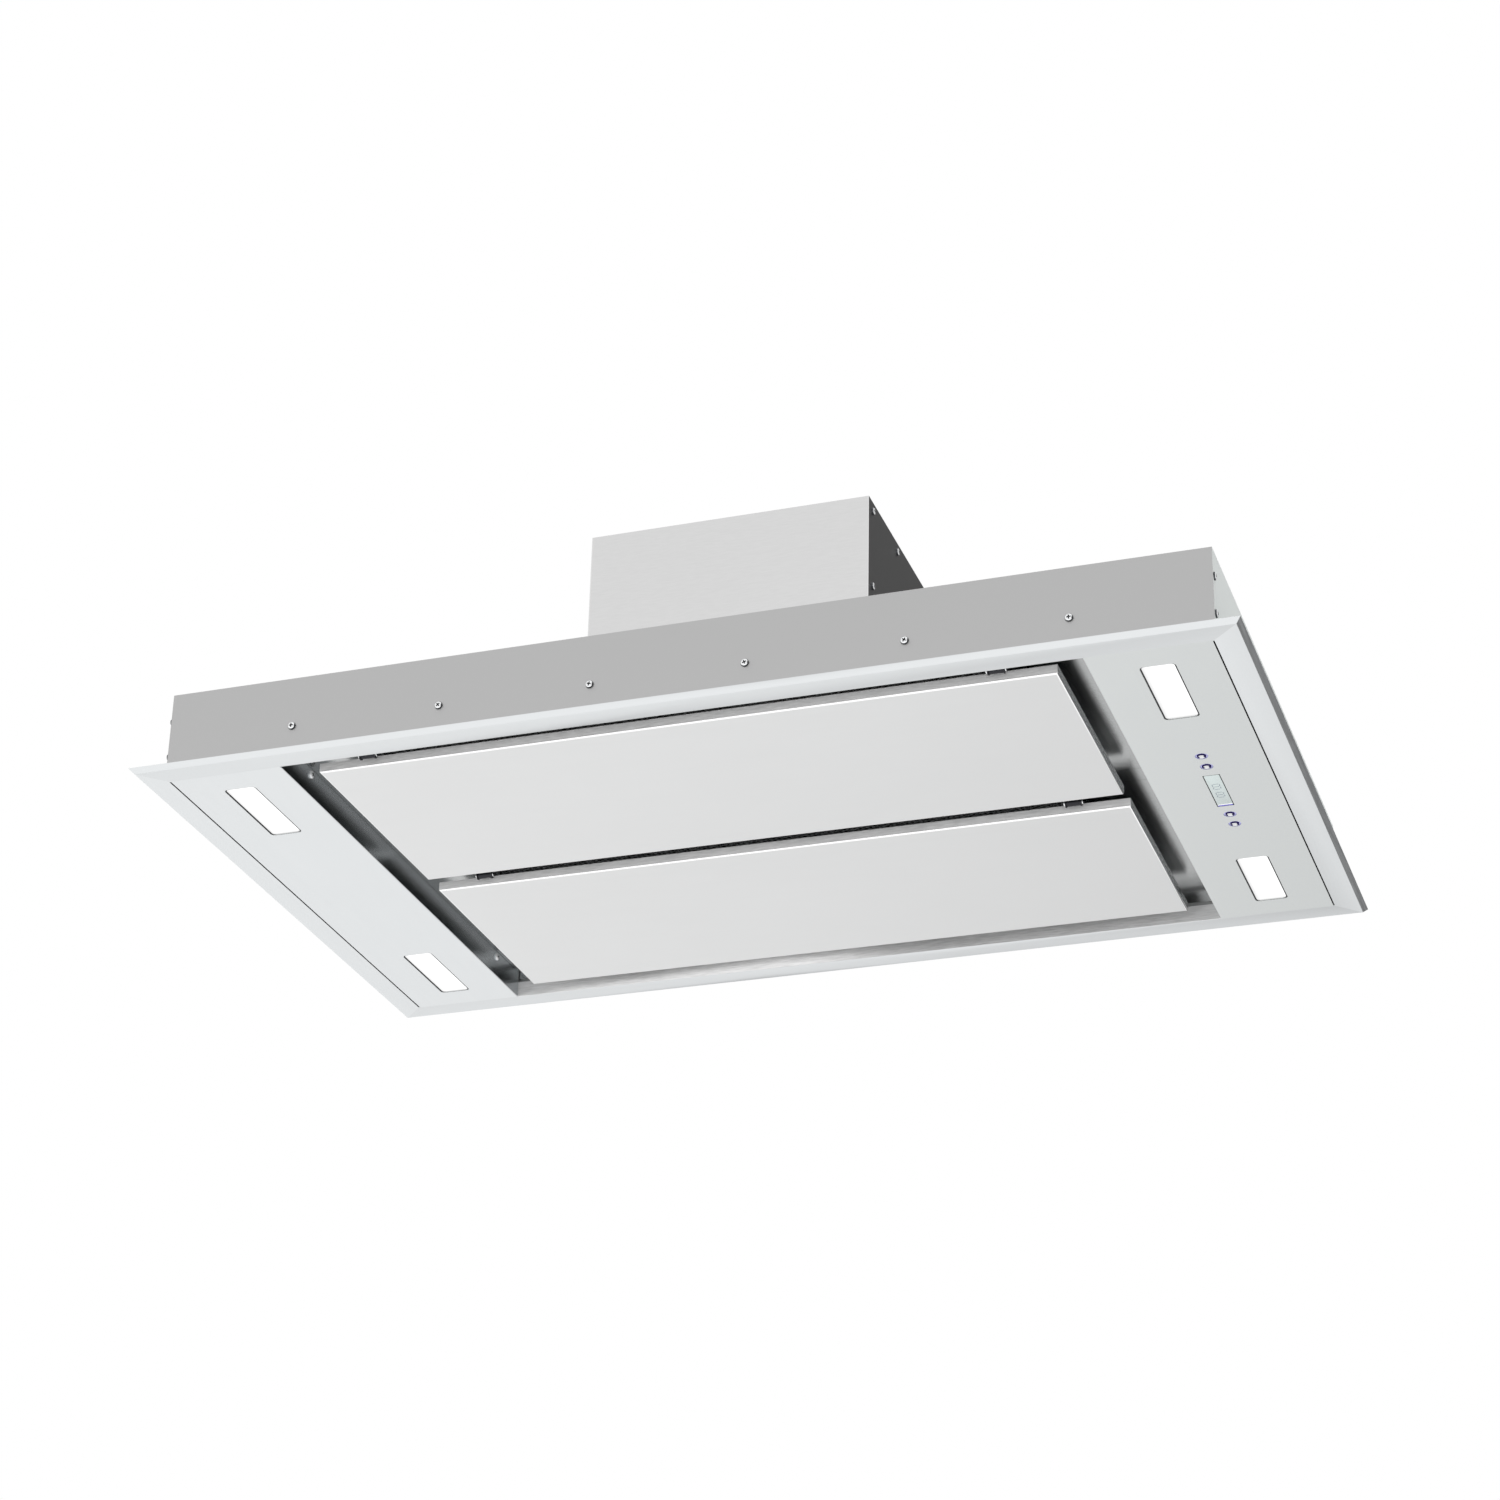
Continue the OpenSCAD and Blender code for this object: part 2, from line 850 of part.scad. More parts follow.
// An arm hung from a rail, reaching over the panel's swinging edge
module catch_bracket(edge_y, hang_y, hang_level) {
    arm_level = magnet_level + magnet_h;
    start_y = edge_y - magnet_in - magnet_l;
    for (side = [-1, 1]) translate([side * catch_x, 0, 0]) {
        block(-catch_half, catch_half, start_y, hang_y, arm_level, arm_level + catch_arm_t);
        block(-catch_half, catch_half, hang_y - catch_arm_t, hang_y, arm_level, hang_level);
        block(-catch_half, catch_half, hang_y - catch_foot, hang_y,
            hang_level - catch_arm_t, hang_level);
    }
}

module catch_magnet(edge_y) {
    end_y = edge_y - magnet_in;
    for (side = [-1, 1]) translate([side * catch_x, 0, 0]) {
        block(-catch_half, catch_half, end_y - magnet_l, end_y,
            magnet_level, magnet_level + magnet_h);
    }
}

module catch_brackets() {
    color(blued) lowered() {
        catch_bracket(-mid_slot / 2, catch_hang_in - mid_rail_half, shelf_level);
        catch_bracket(-front_edge_y, shelf_in_y + catch_hang_in, shelf_level);
    }
}

module catch_magnets() {
    color(dark_plastic) lowered() {
        catch_magnet(-mid_slot / 2);
        catch_magnet(-front_edge_y);
    }
}

// Suction panels

// A tray whose folded edges turn in at the top, hinged along its edge nearest the front
module panel_tray(edge_y) {
    l = panel_l / 2;
    difference() {
        block(-l, l, edge_y, edge_y + panel_w, panel_face_level, panel_top_level);
        block(-l + face_t, l - face_t, edge_y + face_t, edge_y + panel_w - face_t,
            panel_face_level + face_t, panel_top_level - face_t);
        block(-l + panel_fold, l - panel_fold, edge_y + panel_fold, edge_y + panel_w - panel_fold,
            panel_top_level - 2 * face_t, panel_top_level + over);
    }
}

// The backing sits in the tray's mouth, on a dropped rim, with a raised middle
module panel_back(edge_y) {
    rim = panel_fold + seat_gap;
    l = panel_l / 2;
    y1 = edge_y + panel_w;
    lap = panel_fold - backing_lap;
    block(-l + rim, l - rim, edge_y + rim, y1 - rim,
        panel_top_level - backing_t, panel_top_level);
    difference() {
        block(-l + lap, l - lap, edge_y + lap, y1 - lap,
            panel_top_level - face_t - seat_gap - backing_t, panel_top_level - face_t - seat_gap);
        block(-l + rim + backing_t, l - rim - backing_t, edge_y + rim + backing_t,
            y1 - rim - backing_t, panel_face_level, panel_top_level);
    }
    difference() {
        block(-l + rim, l - rim, edge_y + rim, y1 - rim,
            panel_top_level - face_t - seat_gap - backing_t, panel_top_level);
        block(-l + rim + backing_t, l - rim - backing_t, edge_y + rim + backing_t,
            y1 - rim - backing_t, panel_face_level, panel_top_level + over);
    }
}

module front_suction_panel() {
    color(stainless) lowered() panel_tray(front_edge_y);
}

module back_suction_panel() {
    color(stainless) lowered() panel_tray(back_edge_y);
}

module front_panel_backing() {
    color(galvanised) lowered() panel_back(front_edge_y);
}

module back_panel_backing() {
    color(galvanised) lowered() panel_back(back_edge_y);
}

// Grease filters, drawn for the front; the back ones are mirrored

module filter_frame() {
    pad_y = filter_in_y + latch_wall + latch_l + latch_travel + 2 * latch_wall;
    groove_level = filter_level + filter_wall;
    groove_top = filter_top_level - filter_wall;
    difference() {
        union() {
            difference() {
                block(-filter_x, filter_x, -filter_out_y, -filter_in_y,
                    filter_level, filter_top_level);
                block(filter_rim - filter_x, filter_x - filter_rim, filter_rim - filter_out_y,
                    -filter_in_y - filter_rim, filter_level - over, filter_top_level + over);
                block(filter_wall - filter_x, filter_x - filter_wall,
                    filter_wall - filter_out_y, -filter_in_y - filter_wall,
                    groove_level, groove_top);
            }
            block(-latch_pad_half, latch_pad_half, -pad_y, -filter_in_y,
                filter_level, filter_top_level);
        }
        latch_room(latch_half + seat_gap, filter_level - over);
        latch_room(latch_half + latch_wing + seat_gap, latch_wing_level - seat_gap);
        block(-latch_tongue_half - seat_gap, latch_tongue_half + seat_gap,
            -filter_in_y - latch_wall - over, over - filter_in_y,
            tongue_low_level - seat_gap, tongue_top_level + seat_gap);
    }
}

// The pocket that the latch slides in
module latch_room(half, low) {
    far_y = filter_in_y + latch_wall + latch_l + latch_travel + latch_wall / 2;
    block(-half, half, -far_y, -filter_in_y - latch_wall, low, latch_top_level + seat_gap);
}

// The pad of stretched mesh, cut clear of the latch's pad
module filter_mesh() {
    wall = filter_wall + mesh_gap;
    pad_y = filter_in_y + latch_wall + latch_l + latch_travel + 2 * latch_wall + mesh_gap;
    x1 = filter_x - wall;
    y0 = -filter_out_y + wall;
    y1 = -filter_in_y - wall;
    open_x = filter_x - filter_rim - slit_pitch_x / 2;
    open_y = (filter_out_y - filter_in_y) / 2 - filter_rim - slit_pitch_y / 2;
    mid_y = -(filter_out_y + filter_in_y) / 2;
    columns = floor(open_x / slit_pitch_x);
    rows = floor(open_y / slit_pitch_y);
    pad_clear = latch_pad_half + slit_pitch_x / 2;
    translate([0, 0, filter_level + wall]) linear_extrude(height = filter_h - 2 * wall) {
        difference() {
            translate([-x1, y0]) square([2 * x1, y1 - y0]);
            translate([-latch_pad_half - mesh_gap, -pad_y]) {
                square([2 * (latch_pad_half + mesh_gap), pad_y]);
            }
            for (i = [-columns : columns], j = [-rows : rows]) {
                x = i * slit_pitch_x;
                y = mid_y + j * slit_pitch_y;
                if (abs(x) > pad_clear || y < -pad_y - slit_pitch_y / 2) {
                    translate([x, y]) mesh_slit();
                }
            }
        }
    }
}

module mesh_slit() {
    a = slit_share * slit_pitch_x;
    b = slit_share * slit_pitch_y;
    polygon([[-a, 0], [0, -b], [a, 0], [0, b]]);
}

// The latch: a winged slider with a finger grip and a tongue for the centre rail
module filter_latch() {
    y1 = -filter_in_y - latch_wall - seat_gap;
    y0 = y1 - latch_l + seat_gap;
    block(-latch_half, latch_half, y0, y1, latch_low_level, latch_top_level);
    block(-latch_half - latch_wing, latch_half + latch_wing, y0, y1,
        latch_wing_level, latch_top_level);
    block(-latch_tongue_half, latch_tongue_half, y1 - over, y1 + latch_tongue_l,
        tongue_low_level, tongue_top_level);
    grip_y = (y0 + y1) / 2;
    block(-latch_grip_half, latch_grip_half, grip_y, grip_y + latch_grip_t,
        latch_low_level - latch_grip_h, latch_top_level);
}

module front_filter_frame() {
    color("#c4c7c9") lowered() filter_frame();
}

module back_filter_frame() {
    color("#c4c7c9") lowered() mirror([0, 1, 0]) filter_frame();
}

module front_filter_mesh() {
    color("#a9adb0") lowered() filter_mesh();
}

module back_filter_mesh() {
    color("#a9adb0") lowered() mirror([0, 1, 0]) filter_mesh();
}

module front_filter_latch() {
    color(dark_plastic) lowered() filter_latch();
}

module back_filter_latch() {
    color(dark_plastic) lowered() mirror([0, 1, 0]) filter_latch();
}

// Lamps

module lens(sx, sy) {
    color(lit_white) lowered() translate([sx * lamp_x, sy * lamp_y, 0]) {
        linear_extrude(height = lens_t) rounded_outline(lens_w, lens_l, lens_r);
        translate([0, 0, face_t + hole_gap]) linear_extrude(height = lens_lip_t) {
            rounded_outline(lens_w + 2 * lens_lip, lens_l + 2 * lens_lip, lens_r + lens_lip);
        }
    }
}

// Housing of one lamp: a finned lid over the lens, open below
module lamp_housing() {
    half_x = lens_w / 2 + lens_lip + seat_gap;
    half_y = lens_l / 2 + lens_lip + seat_gap;
    top = face_t + lamp_h;
    out_x = half_x + lamp_wall;
    out_y = half_y + lamp_wall;
    difference() {
        block(-out_x, out_x, -out_y, out_y, face_t + hole_gap, top);
        block(-half_x, half_x, -half_y, half_y, face_t - over, top - lamp_wall);
    }
    for (i = [0 : lamp_fin_count - 1]) {
        y = (2 * i / (lamp_fin_count - 1) - 1) * (half_y - lamp_fin_t);
        block(-half_x, half_x, y - lamp_fin_t / 2, y + lamp_fin_t / 2, top, top + lamp_fin_h);
    }
}

module lamp_housings() {
    color(galvanised) lowered() at_lamps() lamp_housing();
}

module lamp_boards() {
    ceiling = face_t + lamp_h - lamp_wall;
    span = lens_l - led_end_gap;
    color("#e8e8e0") lowered() at_lamps() {
        block(-lens_w / 2, lens_w / 2, -lens_l / 2, lens_l / 2, ceiling - board_t, ceiling);
        for (i = [0 : led_count - 1]) {
            y = (i / (led_count - 1) - 1 / 2) * span;
            block(-led_side / 2, led_side / 2, y - led_side / 2, y + led_side / 2,
                ceiling - board_t - led_h, ceiling - board_t);
        }
    }
}

// The driver is bonded to the left end panel between its lamps, by a foot at each end
module lamp_driver() {
    color(dark_plastic) lowered() translate([-lamp_x, 0, face_t]) {
        block(-driver_w / 2, driver_w / 2, -driver_l / 2, driver_l / 2, 0, driver_h);
        block(-driver_w / 2, driver_w / 2, -driver_l / 2 - driver_foot,
            driver_l / 2 + driver_foot, 0, lamp_wall);
    }
}

// Controls

function button_y(i) = (i < 2 ? -1 : 1) * (first_button_y + (i == 0 || i == 3 ? button_pitch : 0));

module at_buttons() {
    for (i = [0 : 3]) translate([lamp_x, button_y(i), 0]) children();
}

module push_button(i) {
    lip_level = ring_h + seat_gap;
    color("#c9cccd") lowered() translate([lamp_x, button_y(i), 0]) {
        intersection() {
            dome_r = (button_r * button_r + button_dome * button_dome) / (2 * button_dome);
            translate([0, 0, dome_r - button_dome]) sphere(dome_r);
            translate([0, 0, -button_dome]) cylinder(r = button_r, h = lip_level + button_dome);
        }
        translate([0, 0, lip_level]) cylinder(r = button_r + button_lip, h = button_lip_h);
        translate([0, 0, lip_level + button_lip_h]) cylinder(r = button_stem_r, h = button_stem_h);
    }
}

module power_button() {
    push_button(0);
}

module slower_button() {
    push_button(1);
}

module faster_button() {
    push_button(2);
}

module light_button() {
    push_button(3);
}

// Clear rings that carry the light round each button
module button_rings() {
    inner = button_r + pin_gap;
    color("#3f6bff") lowered() at_buttons() difference() {
        union() {
            cylinder(r = inner + ring_t, h = ring_h);
            translate([0, 0, face_t]) cylinder(r = inner + 2 * ring_t, h = ring_h - face_t);
        }
        translate([0, 0, -over]) cylinder(r = inner, h = ring_h + 2 * over);
    }
}

module display_window() {
    color("#cfd8da") lowered() translate([lamp_x, 0, 0]) {
        block(-display_w / 2, display_w / 2, -display_l / 2, display_l / 2, 0, display_t);
        block(-display_w / 2 - lens_lip, display_w / 2 + lens_lip, -display_l / 2 - lens_lip,
            display_l / 2 + lens_lip, face_t, display_t);
    }
}

// A lid over the controls, resting on the panel
module control_housing() {
    inner_x = control_half_x - control_wall;
    inner_y = control_half_y - control_wall;
    top = face_t + control_h;
    color(dark_plastic) lowered() translate([lamp_x, 0, 0]) {
        difference() {
            block(-control_half_x, control_half_x, -control_half_y, control_half_y,
                face_t, top);
            block(-inner_x, inner_x, -inner_y, inner_y, face_t - over, top - control_wall);
        }
        on_both_ends() on_both_sides() {
            block(inner_x - 2 * control_wall, inner_x, inner_y - 2 * control_wall, inner_y,
                control_board_level + board_t, top - control_wall);
        }
    }
}

// The board: a switch over each button and the display's block over the window
module control_board() {
    inner_x = control_half_x - control_wall - seat_gap;
    inner_y = control_half_y - control_wall - seat_gap;
    stem_level = ring_h + seat_gap + button_lip_h + button_stem_h;
    color("#1f5a3a") lowered() {
        translate([lamp_x, 0, 0]) {
            block(-inner_x, inner_x, -inner_y, inner_y,
                control_board_level, control_board_level + board_t);
            block(-display_w / 2, display_w / 2, -display_l / 2, display_l / 2,
                display_t + seat_gap, control_board_level);
        }
        at_buttons() {
            block(-switch_side / 2, switch_side / 2, -switch_side / 2, switch_side / 2,
                stem_level + button_travel + seat_gap, control_board_level);
        }
    }
}

// Motor housing

module motor_shell() {
    flange_x = housing_in - sheet_t;
    inner = housing_in - side_return_w;
    color(stainless) lowered() {
        difference() {
            union() {
                block(-housing_in, housing_in, -housing_half, housing_half,
                    housing_top_level - sheet_t, housing_top_level);
                on_both_sides() {
                    block(-housing_in, housing_in, -housing_half, -housing_in,
                        casing_h, housing_top_level);
                    block(-housing_in, housing_in, -housing_half - base_flange, -housing_in,
                        casing_h, casing_h + sheet_t);
                }
                on_both_ends() {
                    difference() {
                        block(flange_x, housing_in, -housing_half, housing_half,
                            casing_h + sheet_t, housing_top_level);
                        block(flange_x - over, housing_in + over, -inner, inner,
                            casing_h, housing_top_level - side_return_w);
                    }
                }
            }
            on_both_ends() at_side_screws() screw_hole(2 * sheet_t);
            on_both_sides() at_base_screws() screw_hole(sheet_t);
            at_collar_screws() screw_hole(collar_flange_t + sheet_t);
            translate([outlet_x, housing_in - over, outlet_level]) rotate([-90, 0, 0]) {
                cylinder(r = outlet_in_r, h = sheet_t + 2 * over);
            }
        }
    }
}

module motor_side() {
    difference() {
        union() {
            block(housing_in, housing_half, -housing_half, housing_half,
                casing_h, housing_top_level);
            block(housing_in, housing_half + base_flange, -housing_half, housing_half,
                casing_h, casing_h + sheet_t);
        }
        at_side_screws() screw_hole(sheet_t);
    }
}

module motor_left_side() {
    color(stainless) lowered() mirror([1, 0, 0]) motor_side();
}

module motor_right_side() {
    color(stainless) lowered() motor_side();
}

module housing_screws() {
    color(blued) lowered() {
        on_both_ends() at_side_screws() pan_screw(sheet_t);
        on_both_sides() at_base_screws() pan_screw(sheet_t);
        at_collar_screws() pan_screw(collar_flange_t);
    }
}

// Fan

// Inside of the scroll, grown outwards by a wall
module scroll_outline(grow) {
    spiral = [
        for (i = [0 : spiral_steps])
            let (a = tongue_a + i * (360 - tongue_a) / spiral_steps)
            (spiral_r(a) + grow) * [cos(a), sin(a)]
    ];
    tongue = spiral_r0 * [cos(tongue_a), sin(tongue_a)];
    end_y = scroll_end_y - fan_y;
    left_x = outlet_x - outlet_in_r - fan_x;
    translate([fan_x, fan_y]) {
        polygon(concat([[0, 0]], spiral));
        polygon([
            [0, 0], [spiral_r1 + grow, 0], [spiral_r1 + grow, end_y],
            [left_x - grow, end_y], tongue - [grow, 0]
        ]);
    }
}

module scroll_housing() {
    color(galvanised) lowered() translate([0, 0, casing_h]) {
        linear_extrude(height = scroll_t) {
            difference() {
                scroll_outline(scroll_t);
                translate([fan_x, fan_y]) circle(inlet_hole_r);
            }
        }
        linear_extrude(height = scroll_h - scroll_t) {
            difference() {
                scroll_outline(scroll_t);
                scroll_outline(0);
            }
        }
    }
}

// Cover of the scroll, with the motor's rubber dampers and the run capacitor's saddle
module scroll_cover() {
    cover_level = casing_h + scroll_h - scroll_t;
    arm_top_level = motor_cap_level + motor_arm_t;
    color(galvanised) lowered() {
        translate([0, 0, cover_level]) linear_extrude(height = scroll_t) {
            difference() {
                scroll_outline(scroll_t);
                translate([fan_x, fan_y]) circle(hub_r);
            }
        }
        translate([fan_x, fan_y, 0]) {
            for (turn = [0 : 120 : 240]) rotate([0, 0, turn]) {
                translate([motor_arm_r, 0, arm_top_level]) {
                    cylinder(r = damper_r, h = cover_level + scroll_t / 2 - arm_top_level);
                }
            }
        }
        translate([capacitor_x, -capacitor_l / 2, cover_level + scroll_t + capacitor_r]) {
            rotate([-90, 0, 0]) cylinder(r = capacitor_r, h = capacitor_l);
        }
        block(capacitor_x - capacitor_r, capacitor_x + capacitor_r, -capacitor_l / 4,
            capacitor_l / 4, cover_level, cover_level + scroll_t + capacitor_r);
    }
}

// A flared inlet: its flange under the casing's top, its mouth curving up into the wheel
module inlet_ring() {
    flare_r = inlet_rise;
    centre_r = inlet_throat_r + inlet_t + flare_r;
    base = case_ceiling_level - inlet_t;
    color(galvanised) lowered() translate([fan_x, fan_y, base]) {
        rotate_extrude() {
            translate([centre_r, 0]) square([inlet_flange_r - centre_r, inlet_t]);
            intersection() {
                translate([inlet_throat_r, 0]) square([flare_r + inlet_t, flare_r + inlet_t]);
                translate([centre_r, flare_r + inlet_t]) difference() {
                    circle(flare_r + inlet_t);
                    circle(flare_r);
                }
            }
        }
    }
}

// One forward-curved blade, standing on the wheel's ring
module blade() {
    mid_r = (blade_in_r + wheel_r) / 2;
    intersection() {
        translate([mid_r, -blade_curve_r]) difference() {
            circle(blade_curve_r);
            circle(blade_curve_r - blade_t);
        }
        difference() {
            circle(wheel_r - blade_t / 2);
            circle(blade_in_r);
        }
        translate([blade_in_r - over, -blade_curve_r]) square([wheel_r, blade_curve_r + over]);
    }
}

// Fan blades: curved forward, between the wheel's ring and its back plate
module fan_blades() {
    low = wheel_level + wheel_ring_t;
    color("#3a3d40") lowered() translate([fan_x, fan_y, low]) {
        linear_extrude(height = wheel_h - wheel_ring_t - cup_t) {
            for (i = [0 : blade_count - 1]) rotate(i * 360 / blade_count) blade();
        }
    }
}

// Fan wheel: the ring at the inlet, and the back plate with its cup round the motor
module fan_wheel() {
    top = wheel_level + wheel_h;
    color("#3a3d40") lowered() translate([fan_x, fan_y, 0]) {
        translate([0, 0, wheel_level]) linear_extrude(height = wheel_ring_t) {
            difference() {
                circle(wheel_r);
                circle(blade_in_r - blade_t / 2);
            }
        }
        rotate_extrude() {
            translate([cup_r, top - cup_t]) square([wheel_r - cup_r, cup_t]);
            translate([cup_r, cup_floor_level]) square([cup_t, top - cup_floor_level]);
            translate([shaft_r, cup_floor_level]) square([cup_r + cup_t - shaft_r, cup_t]);
            translate([shaft_r, cup_floor_level - hub_h]) square([hub_r - shaft_r, hub_h + cup_t]);
        }
    }
}

module fan_shaft() {
    low = cup_floor_level - hub_h;
    color("#8b8f93") lowered() translate([fan_x, fan_y, 0]) {
        translate([0, 0, low]) cylinder(r = shaft_r, h = shaft_top_level - low);
        translate([0, 0, low - nut_h]) cylinder(r = nut_r, h = nut_h, $fn = 6);
    }
}

// Motor: a grooved can with its bearing bore, hung by three arms under the dampers
module motor() {
    top = motor_cap_level;
    height = top - motor_level;
    color("#4a4d50") lowered() translate([fan_x, fan_y, 0]) {
        difference() {
            translate([0, 0, motor_level]) cylinder(r = motor_r, h = height);
            for (share = motor_groove_shares) {
                translate([0, 0, motor_level + share * height]) difference() {
                    cylinder(r = motor_r + over, h = motor_groove);
                    translate([0, 0, -over]) {
                        cylinder(r = motor_r - motor_groove, h = motor_groove + 2 * over);
                    }
                }
            }
            translate([0, 0, motor_level - over]) {
                cylinder(r = shaft_r + pin_gap, h = shaft_top_level + pin_gap + over - motor_level);
            }
        }
        for (turn = [0 : 120 : 240]) rotate([0, 0, turn]) {
            block(hub_r, motor_arm_r, -motor_arm_w / 2, motor_arm_w / 2, top, top + motor_arm_t);
            translate([motor_arm_r, 0, top]) cylinder(r = motor_arm_w / 2, h = motor_arm_t);
        }
        translate([0, 0, top]) cylinder(r = hub_r + over, h = motor_arm_t);
    }
}

// Outlet collar with its stop ring; its axis points out of the back of the housing
module outlet_collar() {
    color(dark_plastic) lowered() {
        difference() {
            translate([outlet_x, housing_half, outlet_level]) rotate([-90, 0, 0]) {
                difference() {
                    union() {
                        cylinder(r = collar_flange_r, h = collar_flange_t);
                        cylinder(r = outlet_r, h = collar_flange_t + outlet_l);
                        for (turn = [45 : 90 : 315]) rotate([0, 0, turn]) {
                            translate([collar_ear_at, 0, 0]) {
                                cylinder(r = collar_ear_r, h = collar_flange_t);
                            }
                            block(outlet_in_r, collar_ear_at, -collar_ear_r, collar_ear_r,
                                0, collar_flange_t);
                        }
                    }
                    translate([0, 0, -over]) {
                        cylinder(r = outlet_in_r, h = collar_flange_t + outlet_l + 2 * over);
                    }
                }
                stop_at = spindle_y - housing_half - flap_t / 2 - seat_gap - stop_t;
                translate([0, 0, stop_at]) difference() {
                    cylinder(r = outlet_in_r + collar_t / 2, h = stop_t);
                    translate([0, 0, -over]) {
                        cylinder(r = outlet_in_r - stop_w, h = stop_t + 2 * over);
                    }
                }
            }
            at_collar_screws() screw_hole(collar_flange_t);
            translate([outlet_x, spindle_y, outlet_level]) {
                cylinder(r = spindle_r + pin_gap, h = 2 * (outlet_r + over), center = true);
            }
        }
    }
}

module flap_spindle() {
    color("#8b8f93") lowered() translate([outlet_x, spindle_y, outlet_level]) {
        cylinder(r = spindle_r, h = 2 * (outlet_r - collar_t / 2), center = true);
    }
}

// Half a disc that swings on the spindle, with two knuckles; drawn for the right side
module flap(knuckle_shares) {
    translate([outlet_x, spindle_y, outlet_level]) difference() {
        union() {
            rotate([90, 0, 0]) linear_extrude(height = flap_t, center = true) intersection() {
                circle(flap_r);
                translate([flap_start, -flap_r]) square([flap_r, 2 * flap_r]);
            }
            for (share = knuckle_shares) {
                translate([0, 0, share * flap_r]) {
                    cylinder(r = flap_knuckle_r, h = flap_knuckle_l, center = true);
                    block(0, flap_start + flap_t, -flap_t / 2, flap_t / 2,
                        -flap_knuckle_l / 2, flap_knuckle_l / 2);
                }
            }
        }
        cylinder(r = spindle_r + pin_gap, h = 2 * (flap_r + over), center = true);
    }
}

module right_flap() {
    color("#56595d") lowered() flap(right_knuckle_shares);
}

module left_flap() {
    color("#56595d") lowered() {
        translate([outlet_x, 0, 0]) mirror([1, 0, 0]) translate([-outlet_x, 0, 0]) {
            flap(left_knuckle_shares);
        }
    }
}

// Terminal box on the casing, with its lid and the gland that the mains cable enters by
module terminal_box() {
    x1 = terminal_x + terminal_l;
    y1 = terminal_y + terminal_w;
    wall = terminal_wall;
    top = casing_h + terminal_h;
    color(dark_plastic) lowered() {
        difference() {
            union() {
                difference() {
                    block(terminal_x, x1, terminal_y, y1, casing_h, top);
                    block(terminal_x + wall, x1 - wall, terminal_y + wall, y1 - wall,
                        casing_h + wall, top - terminal_lid_t);
                    translate([(terminal_x + x1) / 2, (terminal_y + y1) / 2, casing_h - over]) {
                        cylinder(r = wire_hole_r, h = wall + 2 * over);
                    }
                }
                translate([x1, (terminal_y + y1) / 2, casing_h + gland_level]) {
                    rotate([0, 90, 0]) {
                        cylinder(r = gland_hex_r, h = gland_hex_l, $fn = 6);
                        cylinder(r = gland_dome_r, h = gland_hex_l + gland_dome_l);
                    }
                }
            }
            translate([x1, (terminal_y + y1) / 2, casing_h + gland_level]) {
                rotate([0, 90, 0]) translate([0, 0, -wall - over]) {
                    cylinder(r = cable_r, h = wall + gland_hex_l + gland_dome_l + 2 * over);
                }
            }
        }
    }
}

bottom_frame();
left_end_panel();
right_control_panel();
bulkheads();
casing();
end_frames();
end_walls();
hanger_plates();
casing_screws();
well_screws();
front_rail();
back_rail();
centre_rail();
hinge_brackets();
hinge_pins();
catch_brackets();
catch_magnets();
front_filter_frame();
front_filter_mesh();
back_filter_frame();
back_filter_mesh();
front_filter_latch();
back_filter_latch();
front_suction_panel();
front_panel_backing();
front_hinge_leaves();
back_suction_panel();
back_panel_backing();
back_hinge_leaves();
lens(-1, -1);  // left_front_lens
lens(-1, 1);  // left_back_lens
lens(1, -1);  // right_front_lens
lens(1, 1);  // right_back_lens
lamp_housings();
lamp_boards();
lamp_driver();
control_housing();
control_board();
display_window();
button_rings();
power_button();
slower_button();
faster_button();
light_button();
motor_shell();
motor_left_side();
motor_right_side();
housing_screws();
scroll_housing();
scroll_cover();
inlet_ring();
fan_wheel();
fan_blades();
fan_shaft();
motor();
outlet_collar();
flap_spindle();
left_flap();
right_flap();
terminal_box();
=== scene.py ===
"""Looks for a ceiling range hood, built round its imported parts.

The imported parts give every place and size. This file rounds their sheet edges, models the
lamps, push buttons, display, screws, filter pads, outlet and gland more finely, closes the
seams of the end panels, gives each surface its finish, and sets the hood in a pale studio,
seen from below.
"""

import math

import bmesh
import bpy
from mathutils import Matrix, Vector


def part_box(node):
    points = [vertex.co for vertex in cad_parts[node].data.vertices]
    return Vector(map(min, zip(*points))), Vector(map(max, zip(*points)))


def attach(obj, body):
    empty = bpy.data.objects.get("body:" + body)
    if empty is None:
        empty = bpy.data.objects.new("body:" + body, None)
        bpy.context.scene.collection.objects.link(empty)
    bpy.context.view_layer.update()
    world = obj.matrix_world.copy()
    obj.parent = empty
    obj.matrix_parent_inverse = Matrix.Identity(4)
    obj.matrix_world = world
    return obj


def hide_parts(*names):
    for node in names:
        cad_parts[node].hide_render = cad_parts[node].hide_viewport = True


bl_info = {
    "name": "Ceiling Range Hood",
    "version": (1, 0, 0),
    "blender": (4, 5, 0),
    "location": "3D View > Sidebar > Range Hood",
    "description": "Dresses the parts of a ceiling range hood and lights them",
    "category": "Object",
}

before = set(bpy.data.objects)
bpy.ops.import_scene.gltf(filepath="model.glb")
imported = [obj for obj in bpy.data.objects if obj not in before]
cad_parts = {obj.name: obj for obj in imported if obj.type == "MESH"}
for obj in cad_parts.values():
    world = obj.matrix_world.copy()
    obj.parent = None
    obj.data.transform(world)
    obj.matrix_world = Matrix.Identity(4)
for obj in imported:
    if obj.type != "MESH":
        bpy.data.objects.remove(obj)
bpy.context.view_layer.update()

MM = 0.001
ROOT = "hood"
BEND_SEGMENTS = 4

# How near two points are joined, and how near two places, uprights or radii count as one
MERGE = 2e-6
CLOSE = 1e-5
PLUMB = 1e-6
EXACT = 1e-7

